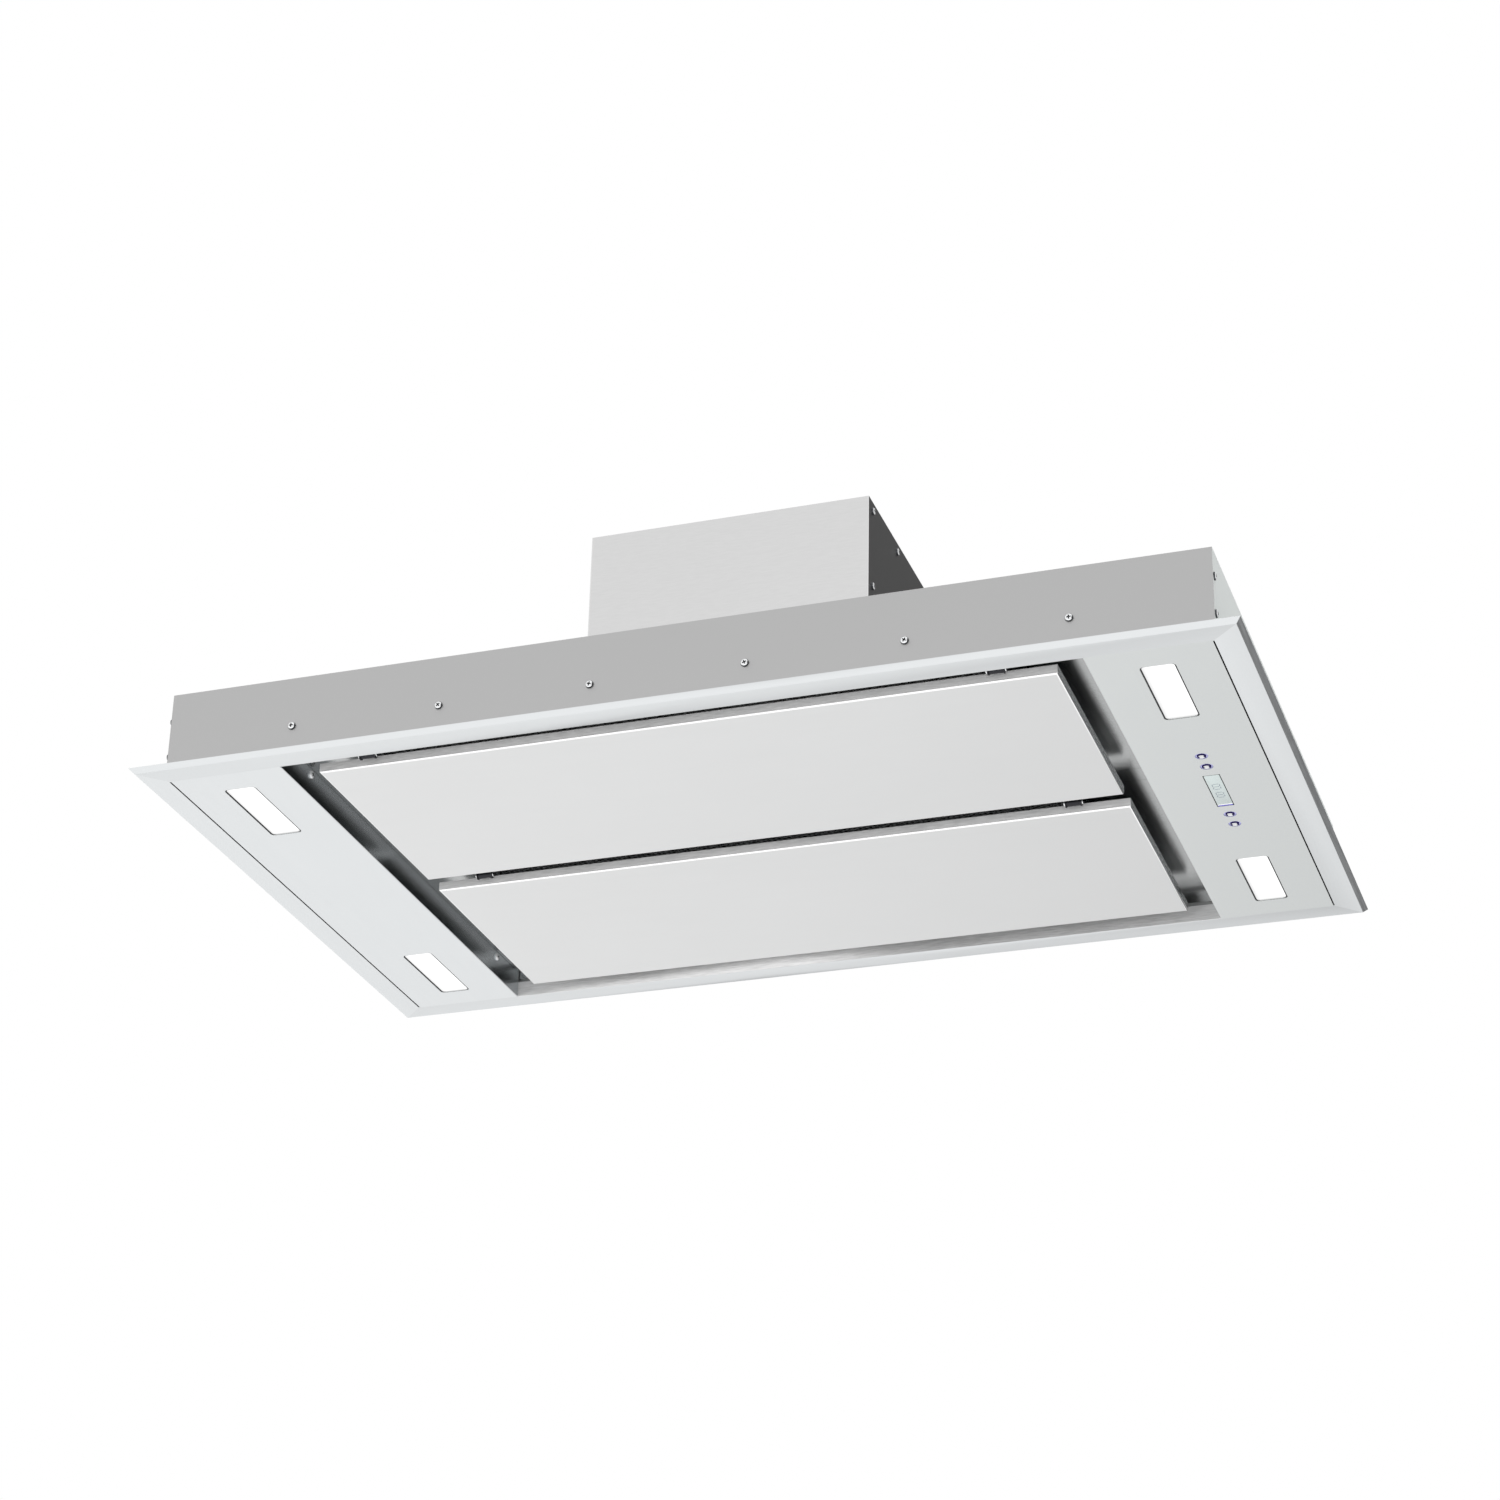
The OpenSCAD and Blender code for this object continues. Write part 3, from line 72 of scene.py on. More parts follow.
FLANGE_LOW, FLANGE_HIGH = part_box("bottom_frame")
FACE_Z = FLANGE_LOW.z

# Sizes and colours that a user would change


class HoodSizes(bpy.types.PropertyGroup):
    """Radii and small sizes of the hood's visible pieces."""

    panel_bend: bpy.props.FloatProperty(
        name="Panel bend", description="Outer radius of the suction panels' folded edges",
        default=1.6 * MM, min=0, subtype="DISTANCE", unit="LENGTH")
    sheet_edge: bpy.props.FloatProperty(
        name="Sheet edge", description="Radius left on cut sheet edges",
        default=0.3 * MM, min=0, subtype="DISTANCE", unit="LENGTH")
    end_bend: bpy.props.FloatProperty(
        name="End panel bend", description="Outer radius of the bend beside the opening",
        default=0.9 * MM, min=0, subtype="DISTANCE", unit="LENGTH")
    lens_edge: bpy.props.FloatProperty(
        name="Lens edge", description="Radius round the face of a lamp lens",
        default=0.5 * MM, min=0, subtype="DISTANCE", unit="LENGTH")
    mesh_long: bpy.props.FloatProperty(
        name="Mesh length", description="Long way of one opening in the stretched mesh",
        default=10 * MM, min=4 * MM, subtype="DISTANCE", unit="LENGTH")
    mesh_short: bpy.props.FloatProperty(
        name="Mesh width", description="Short way of one opening in the stretched mesh",
        default=5 * MM, min=2 * MM, subtype="DISTANCE", unit="LENGTH")


class HoodColours(bpy.types.PropertyGroup):
    """Base colours of the hood's main finishes."""

    face_steel: bpy.props.FloatVectorProperty(
        name="Face steel", description="Flange and end panels",
        default=(0.80, 0.82, 0.83), subtype="COLOR", min=0, max=1)
    panel_steel: bpy.props.FloatVectorProperty(
        name="Panel steel", description="Suction panels",
        default=(0.78, 0.785, 0.785), subtype="COLOR", min=0, max=1)
    wall_steel: bpy.props.FloatVectorProperty(
        name="Wall steel", description="Long walls and top of the casing",
        default=(0.51, 0.51, 0.51), subtype="COLOR", min=0, max=1)
    lamp_light: bpy.props.FloatVectorProperty(
        name="Lamp light", description="Light of the lamps",
        default=(1.0, 1.0, 1.0), subtype="COLOR", min=0, max=1)
    ring_light: bpy.props.FloatVectorProperty(
        name="Button light", description="Light of the rings round the buttons",
        default=(0.12, 0.10, 0.75), subtype="COLOR", min=0, max=1)


# Selecting and shaping


def leave_edit():
    if bpy.context.object and bpy.context.object.mode != "OBJECT":
        bpy.ops.object.mode_set(mode="OBJECT")


def clear_selection():
    leave_edit()
    bpy.ops.object.select_all(action="DESELECT")


def pick(piece):
    """Makes this piece the only one selected, and active."""
    clear_selection()
    piece.select_set(True)
    bpy.context.view_layer.objects.active = piece


def edit(piece, mode="FACE"):
    """Opens a piece in edit mode with nothing selected, and gives its mesh to select in."""
    pick(piece)
    bpy.ops.object.mode_set(mode="EDIT")
    bpy.ops.mesh.select_mode(type=mode)
    bpy.ops.mesh.select_all(action="DESELECT")
    return bmesh.from_edit_mesh(piece.data)


def edit_whole(piece, mode="FACE"):
    """Opens a piece in edit mode with all of it selected."""
    edit(piece, mode)
    bpy.ops.mesh.select_all(action="SELECT")


def select_faces(piece, wanted):
    mesh = edit(piece)
    for face in mesh.faces:
        face.select_set(bool(wanted(face)))
    bmesh.update_edit_mesh(piece.data)


def any_edge(edge):
    return True


def bevel_edges(piece, radius, segments, wanted=any_edge):
    """Rounds the edges that are wanted, or all of them."""
    mesh = edit(piece, "EDGE")
    for edge in mesh.edges:
        if wanted(edge):
            edge.select_set(True)
    bmesh.update_edit_mesh(piece.data)
    bpy.ops.mesh.bevel(offset=radius, segments=segments, affect="EDGES", clamp_overlap=True)
    leave_edit()


def settle(piece, smooth=35):
    """Leaves a piece at the origin, smooth across shallow angles, with its faces outward."""
    pick(piece)
    bpy.ops.object.transform_apply(location=True, rotation=True, scale=True)
    edit_whole(piece)
    bpy.ops.mesh.remove_doubles(threshold=MERGE)
    bpy.ops.mesh.normals_make_consistent(inside=False)
    leave_edit()
    bpy.ops.object.shade_smooth_by_angle(angle=math.radians(smooth))
    return piece


def block(name, low, high):
    """A box between two corners, ready to be shaped."""
    low, high = Vector(low), Vector(high)
    clear_selection()
    bpy.ops.mesh.primitive_cube_add(size=1, location=(low + high) / 2)
    piece = bpy.context.object
    piece.name = name
    piece.scale = high - low
    bpy.ops.object.transform_apply(location=True, rotation=True, scale=True)
    return piece


def upright(edge):
    a, b = edge.verts[0].co, edge.verts[1].co
    return abs(a.x - b.x) + abs(a.y - b.y) < PLUMB


def rounded_slab(name, low, high, corner):
    """A flat block with rounded corners, seen from above."""
    piece = block(name, low, high)
    bevel_edges(piece, corner, 6, upright)
    return piece


def ring_slab(name, low, high, corner, wall):
    """A rounded frame: a slab whose two flat faces are inset and bridged."""
    piece = rounded_slab(name, low, high, corner)
    select_faces(piece, lambda face: abs(face.normal.z) > 0.9)
    bpy.ops.mesh.inset(thickness=wall, depth=0, use_individual=True)
    bpy.ops.mesh.bridge_edge_loops()
    leave_edit()
    return piece


def turned(name, steps, sides, closed=False):
    """A piece turned about Z from steps of radius and height. A closed one is a ring."""
    clear_selection()
    first_radius, first_height = steps[0]
    bpy.ops.mesh.primitive_circle_add(
        vertices=sides, radius=first_radius, location=(0, 0, first_height),
        fill_type="NOTHING" if closed else "NGON")
    piece = bpy.context.object
    piece.name = name
    bpy.ops.object.transform_apply(location=True)
    edit_whole(piece, "EDGE")
    for (radius, height), (radius_to, height_to) in zip(steps, steps[1:]):
        bpy.ops.mesh.extrude_region_move(
            TRANSFORM_OT_translate={"value": (0, 0, height_to - height)})
        share = radius_to / radius
        bpy.ops.transform.resize(value=(share, share, 1), center_override=(0, 0, height_to))
    if closed:
        mesh = bmesh.from_edit_mesh(piece.data)
        for vert in mesh.verts:
            radius = Vector((vert.co.x, vert.co.y, 0)).length
            if abs(radius - first_radius) < EXACT and abs(vert.co.z - first_height) < EXACT:
                vert.select_set(True)
        mesh.select_flush(True)
        bmesh.update_edit_mesh(piece.data)
        bpy.ops.mesh.bridge_edge_loops()
    leave_edit()
    return piece


def close_ends(piece):
    """Closes the open ends of a turned piece, each with one face."""
    edit(piece, "EDGE")
    bpy.ops.mesh.select_non_manifold()
    bpy.ops.mesh.edge_face_add()
    leave_edit()


def duplicate(piece, name):
    """A copy of a piece with its own mesh."""
    pick(piece)
    bpy.ops.object.duplicate()
    copy = bpy.context.object
    copy.name = name
    for key in list(copy.keys()):
        if key.startswith("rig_"):
            del copy[key]
    return copy


def place(piece, at, turn=Matrix.Identity(3)):
    """Turns a piece by a matrix and moves it, in its mesh."""
    piece.matrix_world = Matrix.Translation(at) @ turn.to_4x4()
    pick(piece)
    bpy.ops.object.transform_apply(location=True, rotation=True, scale=True)
    return piece


def join(pieces, name):
    pick(pieces[0])
    for piece in pieces:
        piece.select_set(True)
    if len(pieces) > 1:
        bpy.ops.object.join()
    pieces[0].name = name
    return pieces[0]


def apply_modifier(piece, kind, **values):
    pick(piece)
    modifier = piece.modifiers.new(kind.title(), kind)
    for key, value in values.items():
        setattr(modifier, key, value)
    bpy.ops.object.modifier_apply(modifier=modifier.name)


def part_copy(node, name):
    """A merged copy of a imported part, with each flat area made whole again."""
    copy = duplicate(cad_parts[node], name)
    world = copy.matrix_world.copy()
    copy.parent = None
    copy.matrix_world = world
    copy.data.materials.clear()
    edit_whole(copy)
    bpy.ops.mesh.remove_doubles(threshold=MERGE)
    bpy.ops.mesh.dissolve_limited(angle_limit=math.radians(0.5))
    leave_edit()
    bpy.ops.mesh.customdata_custom_splitnormals_clear()
    return copy


def soften(piece, edge, angle):
    """Rounds the sharp edges of a copied part a little, and keeps its flat faces flat."""
    apply_modifier(
        piece, "BEVEL", width=edge, segments=2, limit_method="ANGLE",
        angle_limit=math.radians(angle), harden_normals=False, use_clamp_overlap=True)
    settle(piece)
    apply_modifier(piece, "WEIGHTED_NORMAL", mode="FACE_AREA", weight=50, keep_sharp=True)
    return piece


def softened(node, name, edge):
    """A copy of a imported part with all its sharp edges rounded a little."""
    return soften(part_copy(node, name), edge, 30)


def bent(node, name, bend, edge, wanted):
    """A copy of a folded part: the wanted edges get the bend, then all cut edges a small one."""
    copy = part_copy(node, name)
    bevel_edges(copy, bend, BEND_SEGMENTS, wanted)
    return soften(copy, edge, 50)


def fit(piece, body, slot, finish, *replaced):
    """Gives a finished piece its finish and body, and hides the imported parts it stands in for.
    The slot is not used.
    """
    piece.data.materials.clear()
    piece.data.materials.append(FINISHES[finish])
    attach(piece, body)
    if replaced:
        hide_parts(*replaced)
    return piece


def edged(node, ending, edge, body, slot, finish):
    """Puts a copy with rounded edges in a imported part's place."""
    return fit(softened(node, node + ending, edge), body, slot, finish, node)


def refinish(piece, finish, wanted):
    """Gives the faces that are wanted another finish."""
    piece.data.materials.append(FINISHES[finish])
    index = len(piece.data.materials) - 1
    for face in piece.data.polygons:
        if wanted(face):
            face.material_index = index


def finish_part(node, finish):
    """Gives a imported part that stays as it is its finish."""
    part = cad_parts[node]
    material = FINISHES[finish]
    if not part.material_slots:
        part.data.materials.append(material)
    for slot in part.material_slots:
        slot.material = material


def loose_boxes(node):
    """Lowest corner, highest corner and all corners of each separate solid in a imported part."""
    copy = part_copy(node, "measured")
    pick(copy)
    bpy.ops.mesh.separate(type="LOOSE")
    found = list(bpy.context.selected_objects)
    boxes = []
    for piece in found:
        corners = [vert.co.copy() for vert in piece.data.vertices]
        low = Vector([min(corner[axis] for corner in corners) for axis in range(3)])
        high = Vector([max(corner[axis] for corner in corners) for axis in range(3)])
        boxes.append((low, high, corners))
    for piece in found:
        bpy.data.objects.remove(piece)
    return boxes


# Finishes

# How fine brushed lines are: along their length, across it, and along short flecks
GRAIN_ALONG = 22.0
GRAIN_ACROSS = 900.0
FLECK_ALONG = 110.0


def plug(tree, node, inputs):
    """Fills in a node's inputs, each with a value or a link."""
    for key, value in inputs.items():
        if isinstance(value, bpy.types.NodeSocket):
            tree.links.new(value, node.inputs[key])
        else:
            node.inputs[key].default_value = value


def add_node(tree, kind, output, inputs, **settings):
    """Adds a node, fills it in, and gives the output that is used."""
    node = tree.nodes.new(kind)
    for key, value in settings.items():
        setattr(node, key, value)
    plug(tree, node, inputs)
    return node.outputs[output]


def new_finish(name):
    """A new material, its node tree, and the object coordinates for its pattern."""
    material = bpy.data.materials.new(name)
    material.use_nodes = True
    tree = material.node_tree
    return material, tree, add_node(tree, "ShaderNodeTexCoord", "Object", {})


def surface(material, inputs):
    """Fills in a material's shader."""
    plug(material.node_tree, material.node_tree.nodes["Principled BSDF"], inputs)
    return material


def noise(tree, where, scale, detail):
    """A fine random pattern, from 0 to 1."""
    return add_node(tree, "ShaderNodeTexNoise", "Fac", {
        "Scale": scale, "Detail": detail, "Vector": where})


def spread(tree, source, low, high, start=0.25, end=0.75, **settings):
    """Stretches what lies between start and end to run from low to high."""
    return add_node(tree, "ShaderNodeMapRange", "Result", {
        "From Min": start, "From Max": end, "To Min": low, "To Max": high,
        "Value": source}, **settings)


def add_up(tree, first, second, share):
    """The first value and a share of the second."""
    return add_node(tree, "ShaderNodeMath", "Value", {
        0: second, 1: share, 2: first}, operation="MULTIPLY_ADD")


def bump(tree, height, strength, distance):
    """A pattern as small heights on the surface."""
    return add_node(tree, "ShaderNodeBump", "Normal", {
        "Strength": strength, "Distance": distance, "Height": height})


def shade(colour, factor):
    """A colour made darker or lighter."""
    return tuple(min(1.0, max(0.0, value * factor)) for value in colour)


def tones(tree, amount, colour, dark, light):
    """A colour that runs between a darker and a lighter shade of itself."""
    return add_node(tree, "ShaderNodeMix", "Result", {
        "A": (*shade(colour, dark), 1), "B": (*shade(colour, light), 1),
        "Factor": amount}, data_type="RGBA")


def brushed(name, colour, along, rough, metal=1.0, contrast=0.05, depth=0.25,
            length=GRAIN_ALONG, groove=0.05 * MM, vary=1.0):
    """Brushed sheet: fine lines along one axis, with broad, faint cloudiness."""
    material, tree, where = new_finish(name)
    scale = [GRAIN_ACROSS] * 3
    scale["XYZ".index(along)] = length
    drawn = add_node(tree, "ShaderNodeMapping", "Vector", {"Scale": scale, "Vector": where})
    lines = noise(tree, drawn, 1, 4)
    both = add_up(tree, lines, noise(tree, where, 5, 2), 0.35)
    tone = spread(tree, both, 0, 1, 0.45, 0.9)
    return surface(material, {
        "Base Color": tones(tree, tone, colour, 1 - contrast, 1 + contrast),
        "Metallic": metal,
        "Roughness": spread(tree, both, rough - 0.05 * vary, rough + 0.07 * vary, 0.45, 0.9),
        "Normal": bump(tree, lines, depth, groove)})


def zinc(name, colour):
    """Galvanised sheet: faint crystals that differ in tone and gloss."""
    material, tree, where = new_finish(name)
    crystal = add_node(tree, "ShaderNodeTexVoronoi", "Color", {"Scale": 70, "Vector": where})
    tone = add_node(tree, "ShaderNodeSeparateColor", "Red", {"Color": crystal})
    return surface(material, {
        "Base Color": tones(tree, tone, colour, 0.93, 1.05),
        "Metallic": 0.9,
        "Roughness": spread(tree, tone, 0.36, 0.50, 0, 1),
        "Normal": bump(tree, noise(tree, where, 900, 3), 0.12, 0.04 * MM)})


def moulded(name, colour, rough, grain=1400, depth=0.25, cloud=0.13):
    """Moulded plastic with a fine eroded texture."""
    material, tree, where = new_finish(name)
    clouds = noise(tree, where, 30, 3)
    return surface(material, {
        "Base Color": tones(tree, clouds, colour, 1 - cloud, 1 + cloud),
        "Roughness": spread(tree, clouds, rough - 0.05, rough + 0.06),
        "Normal": bump(tree, noise(tree, where, grain, 3), depth, 0.06 * MM)})


def polished(name, colour, rough, metal=1.0, gloss=0.5):
    """Polished or ground metal with faint scratches."""
    material, tree, where = new_finish(name)
    marks = noise(tree, where, 600, 4)
    return surface(material, {
        "Base Color": tones(tree, marks, colour, 0.94, 1.04),
        "Metallic": metal,
        "Specular IOR Level": gloss,
        "Roughness": spread(tree, marks, rough - 0.04, rough + 0.08),
        "Normal": bump(tree, marks, 0.05, 0.03 * MM)})


def glowing(name, colour, light, strength, rough=0.3):
    """Lit plastic: an even glow, with a faint frosted surface."""
    material, tree, where = new_finish(name)
    frost = noise(tree, where, 700, 2)
    return surface(material, {
        "Base Color": tones(tree, frost, colour, 0.97, 1),
        "Roughness": spread(tree, frost, rough - 0.05, rough + 0.05),
        "Emission Color": (*light, 1),
        "Emission Strength": strength,
        "Normal": bump(tree, frost, 0.05, 0.02 * MM)})


def circuit(name, colour):
    """A circuit board: varnish over faint straight tracks."""
    material, tree, where = new_finish(name)
    tracks = tree.nodes.new("ShaderNodeTexBrick")
    plug(tree, tracks, {
        "Scale": 240, "Color1": (*shade(colour, 0.8), 1), "Color2": (*shade(colour, 1.3), 1),
        "Mortar": (*shade(colour, 1.8), 1), "Mortar Size": 0.03, "Vector": where})
    track = tracks.outputs["Fac"]
    return surface(material, {
        "Base Color": tracks.outputs["Color"],
        "Roughness": spread(tree, track, 0.3, 0.45, 0, 1),
        "Normal": bump(tree, track, 0.2, 0.05 * MM)})


# Every finish by its plain name, filled in when the sizes and colours are known
FINISHES = {}


def make_finishes(colours):
    face, panel, wall = colours.face_steel, colours.panel_steel, colours.wall_steel
    FINISHES.update({
        # Long sides of the frame: the face steel made 5% darker, as painted shade
        "face along": brushed("Face steel, brushed along, painted shade", shade(face, 0.95), "X", 0.38,
                              contrast=0.012),
        "face across": brushed("Face steel, brushed across", face, "Y", 0.38, contrast=0.012),
        # Right side of the frame: the face steel made 7% lighter, as painted light
        "right face, painted light": brushed("Face steel beside the controls, painted light", shade(face, 1.07), "Y", 0.38,
                              contrast=0.012),
        # Control panel: the face steel made about 5% darker and a little greener; the darkening is
        # painted shade
        "control face": brushed("Control panel steel, painted shade",
                                (face[0] * 0.95, face[1] * 0.955, face[2] * 0.94),
                                "Y", 0.38, contrast=0.012),
        # Outer bevels: the face steel made 16% darker, as painted shade
        "slope": brushed("Bevel steel, painted shade", shade(face, 0.84), "X", 0.4, contrast=0.02),
        # Walls of the narrow groove round the end panels: near-black, as painted shade in the gap
        "groove": brushed("Groove walls, painted shade", (0.05, 0.05, 0.052), "Y", 0.5, contrast=0.1),
        # Panel bends: a brighter, glossier copy of the panel steel; the polish is the bend's own,
        # the extra brightness a painted highlight
        "bend": brushed("Panel bend, polished, painted highlight", (0.92, 0.92, 0.92), "X", 0.20, contrast=0.02,
                        depth=0.1, vary=0.4),
        # Lowest strip of each panel bend: near-white, as a painted highlight line
        "bend, painted highlight": polished("Panel bend, painted highlight line", (0.96, 0.96, 0.96), 0.30, metal=0.5),
        "panel": brushed("Panel steel", panel, "X", 0.36, contrast=0.008, depth=0.08),
        # Panel folds: the near and far folds a nearly matt copy of the panel steel that the low
        # light brightens, as painted light; the end folds a darker copy, as painted shade
        "near fold": brushed("Panel fold, brushed, painted light", (0.66, 0.66, 0.66), "X", 0.5, metal=0.05,
                             contrast=0.14, depth=0.8, length=90),
        "end fold": brushed("Panel end fold, brushed, painted shade", (0.42, 0.42, 0.42), "Y", 0.26,
                            contrast=0.14, depth=0.7, length=90),
        "rim fold": brushed("Rim fold, brushed", (0.80, 0.80, 0.80), "X", 0.4, metal=0.35,
                            contrast=0.14, depth=0.8, length=70),
        # Inner wall of each end panel beside the opening: a darker copy of the face steel, as
        # painted shade
        "well": brushed("Well wall, brushed, painted shade", (0.59, 0.62, 0.64), "Y", 0.17, contrast=0.03,
                        depth=0.15, vary=0.3),
        # Rails inside the slots: steel made dark, as painted shade
        "plate": brushed("Inner plate, brushed, painted shade", (0.46, 0.47, 0.47), "X", 0.19, contrast=0.04,
                         depth=0.4, groove=0.08 * MM, vary=0.4),
        # Casing: the long walls and top a darker copy of the steel, as painted shade, and the end
        # walls a lighter, nearly matt copy, as painted light
        "wall": brushed("Casing wall steel, painted shade", wall, "X", 0.5, contrast=0.004, depth=0.03,
                        vary=0.15),
        "end wall": brushed("Casing end steel, painted light", (0.74, 0.77, 0.76), "Y", 0.55, metal=0.1,
                            contrast=0.01, depth=0.05, vary=0.4),
        "housing": brushed("Housing steel", (0.675, 0.675, 0.675), "X", 0.36, contrast=0.025,
                           depth=0.12, length=FLECK_ALONG, vary=0.3),
        "housing side": brushed("Housing side steel", (0.73, 0.73, 0.73), "Y", 0.3,
                                contrast=0.004, depth=0.02, vary=0.1),
        "zinc": zinc("Galvanised sheet", (0.56, 0.58, 0.59)),
        "screw": polished("Zinc plated screw", (0.86, 0.87, 0.88), 0.12),
        # A pale, nearly matt copy of the screw steel, as painted highlight on heads that would
        # mirror dark
        "screw, painted highlight": polished("Screw steel, painted highlight", (0.92, 0.93, 0.94), 0.25, metal=0.2),
        # Near-black screw steel, as painted shade in recesses and under head rims
        "screw, painted shade": polished("Screw steel, painted shade", (0.10, 0.105, 0.11), 0.3),
        # Hinges and catches: near-black steel, as painted shade in the gaps
        "blued": polished("Hinge steel, painted shade", (0.025, 0.025, 0.03), 0.3, metal=0.5, gloss=0.3),
        "ferrite": moulded("Ferrite magnet", (0.035, 0.035, 0.038), 0.45, grain=900),
        "filter frame": brushed("Filter frame aluminium", (0.72, 0.73, 0.74), "X", 0.35),
        # Filter mesh: aluminium with its tone lowered, as painted shade in the gaps
        "filter mesh": polished("Filter mesh aluminium, painted shade", (0.56, 0.57, 0.58), 0.34, metal=0.4),
        # A near-black block behind each filter mesh
        "dark behind mesh": moulded("Dark block behind the mesh", (0.06, 0.06, 0.062), 0.6, grain=500, depth=0.8),
        "black": moulded("Black plastic", (0.022, 0.022, 0.024), 0.42),
        "grey plastic": moulded("Grey plastic", (0.10, 0.105, 0.11), 0.45),
        "wheel": moulded("Fan plastic", (0.035, 0.037, 0.04), 0.38, grain=700, depth=0.15),
        # Black ring: painted shade in the gap round each lamp lens, and the black rim round the
        # display
        "rubber": moulded("Black rubber and painted gap shade", (0.02, 0.021, 0.022), 0.8, grain=1500),
        # Short ends of the ring round each lens: left pale, with no painted shade
        "shade ring end, left pale": moulded("Shade ring end, left pale", (0.52, 0.53, 0.53), 0.6),
        "board white": circuit("Lamp board", (0.70, 0.70, 0.67)),
        "board green": circuit("Control board", (0.02, 0.10, 0.045)),
        "display": glowing("Display window", (0.56, 0.63, 0.62), (0.5, 0.56, 0.6), 0.05,
                           rough=0.25),
        "digit": moulded("Display segment", (0.26, 0.31, 0.35), 0.3),
        # Near-white strip beside the display bar, as a painted highlight line
        "display, painted highlight line": moulded("Display bar, painted highlight line", (0.95, 0.95, 0.97), 0.3),
        "bar light": glowing("Display bar", (0.08, 0.07, 0.42), colours.ring_light, 0.25),
        "ring light": glowing("Ring light", (0.55, 0.55, 0.78), colours.ring_light, 0.16),
        "button": polished("Button steel", (0.88, 0.89, 0.90), 0.16),
        # Near-black on the button's rim and sides, as a painted dark reflection
        "button, painted dark reflection": polished("Button steel, painted dark reflection", (0.012, 0.006, 0.07), 0.5, metal=0.0, gloss=0.1),
        "shaft": polished("Ground shaft", (0.45, 0.46, 0.47), 0.2),
        "enamel": moulded("Motor enamel", (0.035, 0.037, 0.04), 0.3, grain=500, depth=0.1),
    })


# Sheet pieces

COLLAR_INSIDE = 25 * MM
RIM_W = 27.5 * MM
WALL_BAND = 3 * MM
FLAT = 0.998
SEAM_LAP = 0.25 * MM
SEAM_SUNK = 0.02 * MM
SEAM_DEEP = 0.7 * MM
SEAM_EDGE = 0.03 * MM


def same(first, second):
    return abs(first - second) < CLOSE


def on_bottom(edge, z):
    return all(same(vert.co.z, z) for vert in edge.verts)


class HOOD_OT_bottom_frame(bpy.types.Operator):
    """Rounds the frame's edges and brushes its long and short sides along their length"""
    bl_idname = "hood.bottom_frame"
    bl_label = "Bottom frame"

    def execute(self, context):
        sizes = context.scene.hood_sizes
        frame_piece = softened("bottom_frame", "flange_frame", sizes.sheet_edge)

        # A cut along each mitre, so that every side takes its own grain
        for side_x in (1, -1):
            for side_y in (1, -1):
                edit_whole(frame_piece)
                bpy.ops.mesh.bisect(
                    plane_co=(FLANGE_HIGH.x * side_x, FLANGE_HIGH.y * side_y, 0),
                    plane_no=(side_x, -side_y, 0))
        leave_edit()
        fit(frame_piece, ROOT, "brushed_stainless", "face along", "bottom_frame")

        def on_end(face):
            return FLANGE_HIGH.x - abs(face.center.x) < FLANGE_HIGH.y - abs(face.center.y)

        # Bevel faces, which take the darker steel of painted shade
        def on_slope(face):
            outward = face.normal.y * face.center.y > 0
            return not on_end(face) and outward and -0.95 < face.normal.z < -0.2

        def on_rim(face):
            inside = abs(face.center.y) < FLANGE_HIGH.y - COLLAR_INSIDE
            return abs(face.normal.y) > 0.9 and inside

        # Groove walls, which take the near-black painted shade
        def on_groove(face):
            inside = abs(face.center.x) < FLANGE_HIGH.x - COLLAR_INSIDE
            return abs(face.normal.x) > 0.3 and inside

        # The right side takes the lighter copy of the face steel, as painted light
        def on_right(face):
            return on_end(face) and face.center.x > 0

        for finish, wanted in (("face across", on_end), ("right face, painted light", on_right),
                               ("slope", on_slope), ("rim fold", on_rim),
                               ("groove", on_groove)):
            refinish(frame_piece, finish, wanted)
        return {"FINISHED"}


class HOOD_OT_end_panels(bpy.types.Operator):
    """Rounds both end panels, with a true bend beside the opening and ground seams to the frame"""
    bl_idname = "hood.end_panels"
    bl_label = "End panels"

    def execute(self, context):
        sizes = context.scene.hood_sizes
        rim_y = FLANGE_HIGH.y - RIM_W
        for node, side, way, finish in (("left_end_panel", "left", -1, "face across"),
                                        ("right_control_panel", "right", 1, "control face")):
            low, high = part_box(node)
            inner_x, outer_x = (high.x, low.x) if way < 0 else (low.x, high.x)

            def inner_bend(edge, inner_x=inner_x):
                inside = all(same(vert.co.x, inner_x) for vert in edge.verts)
                return inside and on_bottom(edge, FACE_Z)

            def upright_at(face, x, least):
                return abs(face.normal.x) > least and abs(face.center.x - x) < WALL_BAND

            piece = bent(node, node + "_sheet", sizes.end_bend, sizes.sheet_edge, inner_bend)
            fit(piece, ROOT, "brushed_stainless", finish, node)
            # The inner wall beside the opening takes the darker steel of painted shade
            refinish(piece, "well", lambda face: upright_at(face, inner_x, 0.9))
            # The outer groove wall takes the near-black painted shade
            refinish(piece, "groove", lambda face: upright_at(face, outer_x, 0.3))

            seams = []
            left, right = sorted((inner_x + way * sizes.end_bend, outer_x))
            for near, far in ((-rim_y - SEAM_LAP, low.y + SEAM_LAP),
                              (high.y - SEAM_LAP, rim_y + SEAM_LAP)):
                seam = block("seam", (left, near, FACE_Z + SEAM_SUNK),
                             (right, far, FACE_Z + SEAM_DEEP))
                bevel_edges(seam, SEAM_EDGE, 1)
                seams.append(seam)
            seams = settle(join(seams, side + "_panel_seams"))
            fit(seams, ROOT, "brushed_stainless", finish)
        return {"FINISHED"}


